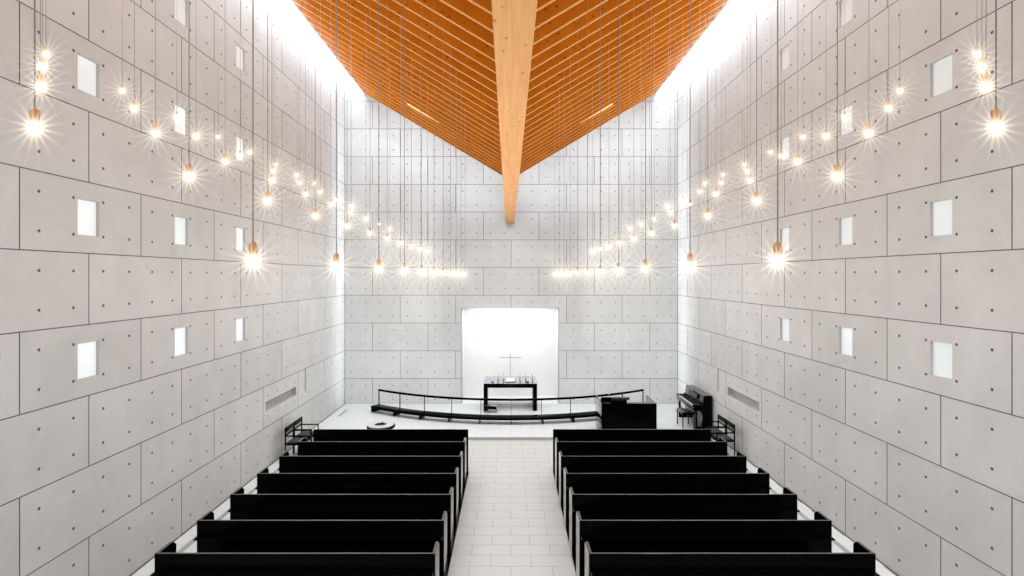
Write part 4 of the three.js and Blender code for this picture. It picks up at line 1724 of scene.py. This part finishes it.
@dataclass
class Chancel:
    """Rail, kneeler, altar with what stands on it, lectern and font."""

    altar_x: float = -0.032
    altar_front: float = from_end(0.97)
    font: Point = (-3.57, from_end(4.45), FLOOR_Z + 0.67)
    candles: Sequence[Pair] = ((-0.42, 0.30), (-0.235, 0.34), (0.335, 0.34), (0.53, 0.30), (0.77, 0.30))
    candle_foot: float = 0.09
    vases: Pair = (-0.61, 0.60)
    page: Point = (0.153, 0.2, 0.022)
    page_steps: int = 10
    rest_x: Pair = (2.842, 3.30)
    books: int = 3

    def build(self) -> None:
        """Builds and dresses the chancel."""
        rounded("communion_rail", RAIL_PAINT, 0.003)
        rounded("kneeler", KNEELER_LACQUER, 0.006)
        rounded("altar_table", ALTAR_LACQUER, 0.004)
        rounded("altar_bench", LACQUER, 0.003)
        rounded("lectern", LACQUER, 0.004)
        refinish(BRIGHT_STEEL, "altar_cross")
        rounded("font_bowl", STONE, 0.006)
        rounded("font_stand", RAIL_PAINT, 0.004)
        self.font_metal()
        self.altar_candles()
        self.altar_vases()
        self.altar_book()
        self.lectern_top()

    def font_metal(self) -> None:
        """Sets the dark ring that holds the font's bowl, and the dish with its knob in the basin."""
        x, y, rim = self.font
        ring = Sketch()
        outline = [(0.3, -0.11), (0.368, -0.095), (0.378, -0.08), (0.378, -0.04), (0.37, -0.034)]
        ring.lathe([*outline, (0.335, -0.034)], (x + 0.012, y, rim), 48)
        ring.piece("font_ring", RAIL_PAINT, smooth=True)
        dish = Sketch()
        bowl = [(0.11, -0.048), (0.148, -0.04), (0.157, -0.012), (0.15, -0.012), (0.14, -0.032)]
        dish.lathe(bowl, self.font, 32)
        knob = [(0.02, -0.034), (0.012, -0.02), (0.008, 0.03), (0.016, 0.045), (0.01, 0.06)]
        dish.lathe(knob, (x + 0.055, y, rim), 14)
        dish.piece("font_dish", STEEL, smooth=True)

    def altar_candles(self) -> None:
        """Stands the candles in dark holders on the altar."""
        places = [(self.altar_x + x, self.altar_front + 0.22, ALTAR_TOP_Z) for x, _ in self.candles]
        holder = Sketch()
        stem = [(0.034, 0.0), (0.034, 0.008), (0.012, 0.02), (0.012, 0.075), (0.03, 0.085), (0.03, 0.095)]
        holder.lathe(stem, sides=16)
        Repeater.piece("candle_holders", holder, places, LACQUER, smooth=True)
        candle = Sketch()
        candle.lathe([(0.017, 0.0), (0.018, 0.004), (0.018, 0.98), (0.012, 1.0)], sides=14)
        starts = [(x, y, z + self.candle_foot) for x, y, z in places]
        sizes = [(1.0, 1.0, height - self.candle_foot) for _, height in self.candles]
        Repeater.piece("candles", candle, starts, WAX, stretch=sizes, smooth=True)

    def altar_vases(self) -> None:
        """Stands two empty glass vases on the altar."""
        outside = [(0.04, 0.03), (0.052, 0.08), (0.045, 0.15), (0.036, 0.19), (0.05, 0.22)]
        inside = [(0.046, 0.22), (0.032, 0.19), (0.04, 0.15), (0.046, 0.08), (0.034, 0.036)]
        glass = Sketch()
        base = Sketch()
        for x in self.vases:
            centre = (self.altar_x + x, self.altar_front + 0.2, ALTAR_TOP_Z)
            glass.lathe(outside + inside, centre)
            base.lathe([(0.05, 0.0), (0.052, 0.012), (0.04, 0.035)], centre)
        glass.piece("altar_vases", VASE, smooth=True)
        base.piece("vase_feet", LACQUER, smooth=True)

    def altar_book(self) -> None:
        """Lays an open book on a low sloping stand at the altar's middle."""
        centre = Vector((self.altar_x + 0.005, self.altar_front + 0.30, ALTAR_TOP_Z))
        tilt = Matrix.Translation(centre + Vector((0, 0, 0.06))) @ Matrix.Rotation(math.radians(24), 4, "X")
        stand = Sketch()
        stand.box((-0.17, -0.13, -0.045), (0.17, 0.11, 0.0), tilt)
        stand.box((-0.17, -0.142, -0.045), (0.17, -0.13, 0.02), tilt)
        foot = Matrix.Translation(centre)
        stand.box((-0.14, -0.12, 0.0), (0.14, -0.09, 0.012), foot)
        stand.box((-0.14, 0.06, 0.0), (0.14, 0.09, 0.06), foot)
        stand.piece("book_stand", LACQUER, 0.002)
        pages = Sketch()
        width, height, bulge = self.page
        for side in (-1, 1):
            outline = [(0.0, 0.001)]
            for step in range(self.page_steps + 1):
                share = step / self.page_steps
                rise = bulge * math.sin(math.pi * share) ** 0.7
                outline.append((side * width * share, 0.012 + rise))
            outline.append((side * width, 0.001))
            points = [tilt @ Vector((x, -0.115, z)) for x, z in outline]
            pages.prism(points, tilt.to_3x3() @ Vector((0, height, 0)))
        pages.piece("open_book", PAGE)

    def lectern_top(self) -> None:
        """Adds the book rest over the lectern's rim, closed books and two thin stems."""
        near = from_end(3.7)
        rim = PLATFORM_Z + 0.95
        lip, hang, rest, rise = 0.026, 0.067, 0.168, 0.082
        left, right = self.rest_x
        profile = [
            (-lip, -hang),
            (-0.003, -hang),
            (-0.003, 0.001),
            (rest, 0.001),
            (rest, rise),
            (-lip, rise),
        ]
        desk = Sketch()
        desk.prism([(left, near + y, rim + z) for y, z in profile], (right - left, 0.0, 0.0))
        desk.piece("lectern_book_rest", KNEELER_LACQUER, 0.004)
        cover = Sketch()
        edges = Sketch()
        for index in range(self.books):
            low = rim + rise + 0.001 + 0.024 * index
            shift = 0.012 * (index % 2)
            for foot in (0.0, 0.019):
                corner = (3.40 - shift, near + 0.165, low + foot + 0.004)
                cover.box((2.885 + shift, near + 0.05, low + foot), corner)
            edges.box((2.892 + shift, near + 0.056, low + 0.004), (3.393 - shift, near + 0.16, low + 0.019))
        cover.piece("lectern_book_covers", LACQUER, 0.001)
        edges.piece("lectern_book_edges", BOOK_EDGE)
        top = rim + 0.14
        head = (3.225, near + 0.17, top + 0.085)
        stems = Sketch()
        stems.tube([(3.22, near + 0.175, top - 0.01), (3.225, near + 0.17, top + 0.09)], 0.004)
        stems.lathe([(0.008, 0.0), (0.017, 0.012), (0.017, 0.03), (0.008, 0.042)], head, 12)
        stems.tube([(2.83, near + 0.178, top - 0.01), (2.83, near + 0.176, top + 0.075)], 0.003)
        stems.piece("lectern_stems", STEEL, smooth=True)
        tip = Sketch()
        bead = [(0.006, 0.0), (0.013, 0.008), (0.013, 0.018), (0.006, 0.026)]
        tip.lathe(bead, (2.83, near + 0.176, top + 0.07), 10)
        tip.piece("lectern_lamp_tip", TRIM, smooth=True)


@dataclass
class Piano:
    """Upright piano with keys, fallboard, pedals and a music desk."""

    back_x: float = 5.95
    case_depth: float = 0.28
    top_depth: float = 0.24
    depth: float = 0.55
    near: float = 1.69
    length: float = 1.495
    key_z: float = 0.72
    height: float = 1.04
    cheek: float = 0.085
    keys: int = 52
    key: Point = (0.145, 0.0012, 0.018)
    pedals: Sequence[float] = (-0.075, 0.0, 0.075)

    def build(self) -> None:
        """Builds and dresses the piano and its stool."""
        rounded("piano", LACQUER, 0.004)
        rounded("piano_stool", LACQUER, 0.006)
        low_y, high_y = from_end(self.near + self.length), from_end(self.near)
        middle = (low_y + high_y) / 2
        face, front = self.back_x - self.case_depth, self.back_x - self.depth
        z = PLATFORM_Z + self.key_z
        first, last = low_y + self.cheek, high_y - self.cheek
        pitch = (high_y - low_y - 2 * self.cheek) / self.keys
        long, gap, thick = self.key
        white = Sketch()
        white.box((0.0, 0.0, 0.0), (long, pitch - gap, thick))
        places = [(front + 0.012, first + index * pitch, z) for index in range(self.keys)]
        Repeater.piece("white_keys", white, places, WHITE_KEY, bevel=0.0008)
        black = Sketch()
        black.box((0.0, -0.005, thick), (0.092, 0.005, 0.03))
        sharps = [index for index in range(1, self.keys) if index % 7 not in (2, 6)]
        places = [(front + 0.064, first + index * pitch, z) for index in sharps]
        Repeater.piece("black_keys", black, places, LACQUER)
        body = Sketch()
        for start in (low_y, last):
            body.box((front, start, z), (face - 0.02, start + self.cheek, z + 0.055))
        body.box((front, first, z), (front + 0.01, last, z + 0.02))
        body.box((face - 0.055, first, z), (face - 0.03, last, z + 0.12))
        top = PLATFORM_Z + self.height
        lid = self.back_x - self.top_depth - 0.012
        body.box((lid, low_y - 0.008, top - 0.006), (self.back_x, high_y + 0.008, top + 0.008))
        lean = Matrix.Rotation(math.radians(8), 4, "Y")
        desk = Matrix.Translation((face - 0.02, middle, z + 0.14)) @ lean
        body.box((-0.012, -0.35, 0.0), (0.0, 0.35, 0.15), desk)
        body.piece("piano_trim", LACQUER, 0.0025)
        pedals = Sketch()
        for offset in self.pedals:
            start = Vector((face + 0.01, middle + offset, PLATFORM_Z + 0.06))
            bends = (0, 0.3, 0.6, 1.0)
            path = [start + Vector((-0.09 * s, 0.0, -0.012 * math.sin(3 * s))) for s in bends]
            pedals.tube(path, 0.009)
        pedals.piece("piano_pedals", BRASS, smooth=True)


@dataclass
class Seating:
    """Chairs along the side walls, with upholstered pads and slatted backs."""

    pad: Point = (0.404, 0.446, 0.04)
    core_inset: float = 0.012
    core_foot: float = 0.006
    voxel: float = 0.008
    pressure: float = 4.0
    frames: int = 15
    swell: float = 0.012
    dome: float = 0.008
    slats: int = 8
    slat_z: float = 0.675
    slat_pitch: float = 0.02

    def stuffed(self) -> bpy.types.Mesh:
        """Blows up one pad with the cloth solver.

        Returns:
            The pad's mesh, round its own middle, with its foot at 0.
        """
        depth, width, height = self.pad[0] / 2, self.pad[1] / 2, self.pad[2]
        inset = self.core_inset
        core = Sketch()
        high = (depth - inset, width - inset, height - inset)
        core.box((-depth + inset, -width + inset, self.core_foot), high)
        pad = new_object("pad_core", core.data("pad_core"))
        remesh = pad.modifiers.new("voxels", "REMESH")
        remesh.mode = "VOXEL"
        remesh.voxel_size = self.voxel
        flat = evaluated_mesh(pad)
        pad.modifiers.remove(remesh)
        pad.data = flat
        rest = [vertex.co.copy() for vertex in flat.vertices]
        cloth = pad.modifiers.new("filling", "CLOTH")
        cloth.settings.use_pressure = True
        cloth.settings.uniform_pressure_force = self.pressure
        cloth.settings.effector_weights.gravity = 0.0
        scene = bpy.context.scene
        for step in range(1, self.frames + 1):
            scene.frame_set(step)
        blown = evaluated_mesh(pad)
        pad.modifiers.remove(cloth)
        pad.data = blown
        scene.frame_set(1)
        for vertex, start in zip(pad.data.vertices, rest):
            move = vertex.co - start
            if move.length > self.swell:
                vertex.co = start + move.normalized() * self.swell
            vertex.co.x = max(-depth, min(depth, vertex.co.x))
            vertex.co.y = max(-width, min(width, vertex.co.y))
            vertex.co.z = max(0.0, min(height + self.dome, vertex.co.z))
        made = pad.data
        bpy.data.objects.remove(pad)
        return made

    def build(self) -> None:
        """Builds the chairs with their pads and slats."""
        stuffed = self.stuffed()
        for side in Side:
            for number in (1, 2):
                name = f"armchair_{side.name.lower()}_{number}"
                rounded(name, CHAIR_LACQUER, 0.003)
                low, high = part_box(f"{name}_pad")
                middle = (low + high) / 2
                turn = Matrix.Rotation(0.0 if side is Side.LEFT else math.pi, 4, "Z")
                data = stuffed.copy()
                data.transform(Matrix.Translation((middle.x, middle.y, low.z)) @ turn)
                pad = dress(new_object(f"{name}_seat_pad", data), CLOTH, smooth=True)
                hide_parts(f"{name}_pad")
                self.back(name, side)

    def back(self, name: str, side: Side) -> None:
        """Adds the slats between the back's posts.

        Args:
            name: The chair's node.
            side: The side that it stands on, with its back to the wall.
        """
        low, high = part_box(name)
        rear = low.x if side is Side.LEFT else high.x
        near, far = sorted(rear - side.value * depth for depth in (0.0285, 0.033))
        slat = Sketch()
        for index in range(self.slats):
            level = FLOOR_Z + self.slat_z + index * self.slat_pitch
            slat.box((near, low.y + 0.03, level), (far, high.y - 0.03, level + 0.011))
        slat.piece(f"{name}_slats", CHAIR_LACQUER, 0.002)


@dataclass
class WallFittings:
    """Small fittings on the side walls: the long grilles and the upright sconces."""

    fins: int = 17
    fin_pitch: float = 0.1
    first_fin: float = from_end(5.88) + 0.06
    fin: Point = (0.012, 0.006, 0.23)
    fin_inset: float = 0.105
    fin_foot: float = 1.381
    dot: Pair = (0.011, 0.004)
    dot_foot: float = 1.385
    sconce: Point = (0.04, 0.06, 0.67)
    sconce_inset: float = 0.028
    sconce_from_end: float = 3.5
    sconce_z: float = 1.685

    def build(self) -> None:
        """Builds the grilles and the sconces."""
        radius, rise = self.dot
        dots = Sketch()
        dots.lathe([(radius, 0.0), (radius, rise)], sides=8)
        out, half, tall = self.fin[0] / 2, self.fin[1] / 2, self.fin[2]
        fin = Sketch()
        fin.box((-out, -half, 0.0), (out, half, tall))
        rows = []
        for side in Side:
            x = side.value * (HALF_WIDTH + self.fin_inset)
            rows += [(x, self.first_fin + index * self.fin_pitch) for index in range(self.fins)]
        dotted = [(x, y, FLOOR_Z + self.dot_foot) for x, y in rows]
        Repeater.piece("recess_dots", dots, dotted, SHADOW_GAP)
        finned = [(x, y, FLOOR_Z + self.fin_foot) for x, y in rows]
        Repeater.piece("recess_fins", fin, finned, CHANNEL)
        high = Vector(self.sconce) / 2
        sconce = Sketch()
        sconce.box(tuple(-high), tuple(high))
        y, z = from_end(self.sconce_from_end), FLOOR_Z + self.sconce_z
        places = [(side.value * (HALF_WIDTH - self.sconce_inset), y, z) for side in Side]
        Repeater.piece("wall_sconces", sconce, places, SCONCE, bevel=0.004)


@dataclass
class Studio:
    """Camera, floor, soft light and the lens's glare."""

    camera_at: Point = (-0.084, -10.755, 4.873)
    lens: float = 17.596
    sensor: float = 36.0
    shift: Pair = (0.0031, -0.0111)
    floor_half: float = 90.0

    def camera(self) -> None:
        """Makes the camera at the photograph's place."""
        data = bpy.data.cameras.new("hall_camera")
        data.lens = self.lens
        data.sensor_width = self.sensor
        data.shift_x, data.shift_y = self.shift
        data.clip_start = 0.05
        data.clip_end = 400.0
        made = new_object("hall_camera", data)
        made.location = self.camera_at
        made.rotation_euler = (math.radians(90), 0.0, 0.0)
        bpy.context.scene.camera = made

    def area(
        self,
        name: str,
        at: Point,
        size: Pair,
        power: float,
        aim: Point,
        tint: Colour = WARM,
        lit: Sequence[str] = (),
    ) -> None:
        """Adds a soft rectangular light that neither the camera nor the gloss sees.

        Args:
            name: The light's name.
            at: Its middle.
            size: Its width and length.
            power: Watts.
            aim: The way it shines.
            tint: Its colour.
            lit: The starts of the names of what it lights, or nothing where it lights all.
        """
        data = bpy.data.lights.new(name, "AREA")
        data.shape = "RECTANGLE"
        data.size, data.size_y = size
        data.energy = power
        data.color = tint
        made = new_object(name, data)
        made.location = at
        made.rotation_euler = Vector(aim).to_track_quat("-Z", "Y").to_euler()
        made.visible_camera = False
        made.visible_glossy = False
        self.link(made, lit)

    def sun(self, name: str, energy: float, angle: float, turn: Point, lit: Sequence[str] = ()) -> None:
        """Adds a soft sun.

        Args:
            name: The light's name.
            energy: Its strength.
            angle: Its width in degrees.
            turn: Its turns about the three axes, in degrees.
            lit: The starts of the names of what it lights, or nothing where it lights all.
        """
        data = bpy.data.lights.new(name, "SUN")
        data.energy = energy
        data.angle = math.radians(angle)
        made = new_object(name, data)
        made.rotation_euler = [math.radians(value) for value in turn]
        self.link(made, lit)

    @staticmethod
    def link(light: bpy.types.Object, lit: Sequence[str]) -> None:
        """Limits a light to the pieces whose names start in one of the given ways.

        Args:
            light: The light.
            lit: The starts of the names, or nothing where it lights all.
        """
        if not lit:
            return
        group = bpy.data.collections.new(f"{light.name}_lit")
        for piece in bpy.context.scene.objects:
            if piece.type == "MESH" and piece.name.startswith(tuple(lit)):
                group.objects.link(piece)
        light.light_linking.receiver_collection = group

    def lights(self) -> None:
        """Sets daylight at the roof's edges, the pendants' glow and the pale sky outside."""
        walls = ("inner_panels_left", "inner_panels_right")
        end = ("inner_panels_end", "niche")
        altar_end = ("platform", "chancel", "font", "altar", "open_book", "lectern")
        roof = ("roof_", "keel_")
        brim_z = slope_z(5.2) - 0.45
        for side in Side:
            sign = side.value
            out, low_out, brim_in = (sign, 0, 0), (sign, 0, -0.3), (-sign, 0, 0.5)
            beside = [
                ("side_wash", (sign * 5.62, MIDDLE_Y, 12.1), (0.6, 15.6), 210.0, DOWN, DAYLIGHT),
                ("side_edge", (sign * 4.3, MIDDLE_Y, 10.4), (15.6, 0.9), 58.0, low_out, DAYLIGHT, walls),
                ("brim_wash", (sign * 5.55, MIDDLE_Y, brim_z), (15.6, 0.3), 45.0, brim_in, WARM, roof),
                ("strip_wash", (sign * 5.6, MIDDLE_Y, 2.6), (0.5, 13.0), 22.0, DOWN, DAYLIGHT, ("nave_",)),
                ("corner_wash", (sign * 5.25, END_Y - 0.5, 5.5), (0.8, 10.0), 50.0, out, DAYLIGHT, walls),
                ("foot_wash", (sign * 5.3, 1.0, 1.6), (8.0, 0.4), 3.0, (sign, 0, -0.4), DAYLIGHT, walls),
            ]
            for index, (reach, power) in enumerate(((0.95, 34.0), (2.6, 24.0), (4.25, 32.0))):
                at = (AXIS_X + sign * reach, END_Y - 2.0, slope_z(reach - 0.75) - 0.35)
                beside.append((f"end_wash_{index}", at, (1.5, 0.6), power, (0, 1, -0.1), DAYLIGHT, end))
            beside.append(("pendant_glow", (sign * 2.4, MIDDLE_Y, 5.8), (15.0, 6.4), 250.0, out))
            for name, *rest in beside:
                self.area(f"{name}_{side.name.lower()}", *rest)
        self.area("niche_wash", (-0.035, 7.9, 3.7), (3.0, 0.7), 30.0, DOWN, DAYLIGHT)
        self.area("chancel_fill", (0.0, -0.5, 6.6), (9.0, 2.4), 140.0, (0, 1, -0.35), WARM, end)
        self.area("low_wash", (0.0, END_Y - 2.2, 1.2), (11.0, 1.6), 62.0, (0, 1, -0.1), DAYLIGHT, end)
        self.area("platform_wash", (0.0, 5.2, 5.6), (11.0, 3.4), 165.0, DOWN, DAYLIGHT, altar_end)
        self.area("platform_fill", (0.0, 3.6, 6.6), (9.0, 3.8), 200.0, DOWN)
        self.area("floor_fill", (0.0, -2.5, 6.0), (8.0, 11.0), 85.0, DOWN)
        self.area("roof_fill", (0.0, MIDDLE_Y - 1.0, 2.4), (8.0, 12.0), 605.0, UP, WARM, roof)
        self.sun("soft_sun", 1.1, 25, (38, 18, -35))
        covering = ("roof_sheet", "roof_seams", "wall_copings")
        outside = ("outer_", *covering, "niche_cap", "stage_floor", "niche_shell")
        self.sun("outer_sun", 1.0, 40, (48, 0, 150), outside)
        world = bpy.data.worlds.new("pale_sky")
        world.use_nodes = True
        sky = world.node_tree.nodes["Background"]
        sky.inputs["Color"].default_value = (0.93, 0.94, 0.96, 1.0)
        sky.inputs["Strength"].default_value = 0.5
        bpy.context.scene.world = world

    def floor(self) -> None:
        """Lays the plain pale floor that the hall stands on."""
        half = self.floor_half
        sketch = Sketch()
        sketch.box((-half, -half, -0.05), (half, half, -0.002))
        made = new_object("stage_floor", sketch.data("stage_floor"))
        made.data.materials.append(STAGE.material())

    @staticmethod
    def glare_node(tree: bpy.types.NodeTree, kind: str, values: dict[str, float]) -> bpy.types.Node:
        """Adds one glare of the lens.

        Args:
            tree: The compositor's tree.
            kind: The glare's type.
            values: Its inputs' names and values.

        Returns:
            The node.
        """
        made = tree.nodes.new("CompositorNodeGlare")
        made.glare_type = kind
        made.quality = "HIGH"
        for name, value in values.items():
            made.inputs[name].default_value = value
        return made

    def glare(self) -> None:
        """Adds the lens's small stars round the brightest points."""
        scene = bpy.context.scene
        scene.use_nodes = True
        tree = scene.node_tree
        tree.nodes.clear()
        rays = {
            "Threshold": 8.0,
            "Streaks": 16,
            "Streaks Angle": math.radians(8),
            "Iterations": 3,
            "Fade": 0.90,
            "Strength": 0.13,
            "Color Modulation": 0.05,
        }
        star = self.glare_node(tree, "STREAKS", rays)
        bloom = self.glare_node(tree, "BLOOM", {"Threshold": 1.0, "Strength": 1.0, "Size": 0.04})
        layers = tree.nodes.new("CompositorNodeRLayers")
        result = tree.nodes.new("CompositorNodeComposite")
        tree.links.new(layers.outputs["Image"], star.inputs["Image"])
        tree.links.new(star.outputs[0], bloom.inputs["Image"])
        tree.links.new(bloom.outputs[0], result.inputs["Image"])

    def build(self) -> None:
        """Sets up the studio."""
        self.camera()
        self.floor()
        self.lights()
        self.glare()
        bpy.context.scene.view_settings.view_transform = "Standard"


def main() -> None:
    """Builds the dressed hall, one sub-assembly after another."""
    logging.basicConfig(level=logging.INFO, format="%(name)s %(message)s")
    steps: Sequence[Callable[[], None]] = (
        Shell().build,
        Floors().build,
        Roof().build,
        Pendants().build,
        Pews().build,
        Chancel().build,
        Piano().build,
        Seating().build,
        WallFittings().build,
        Studio().build,
    )
    for step in steps:
        step()


if __name__ == "__main__":
    main()
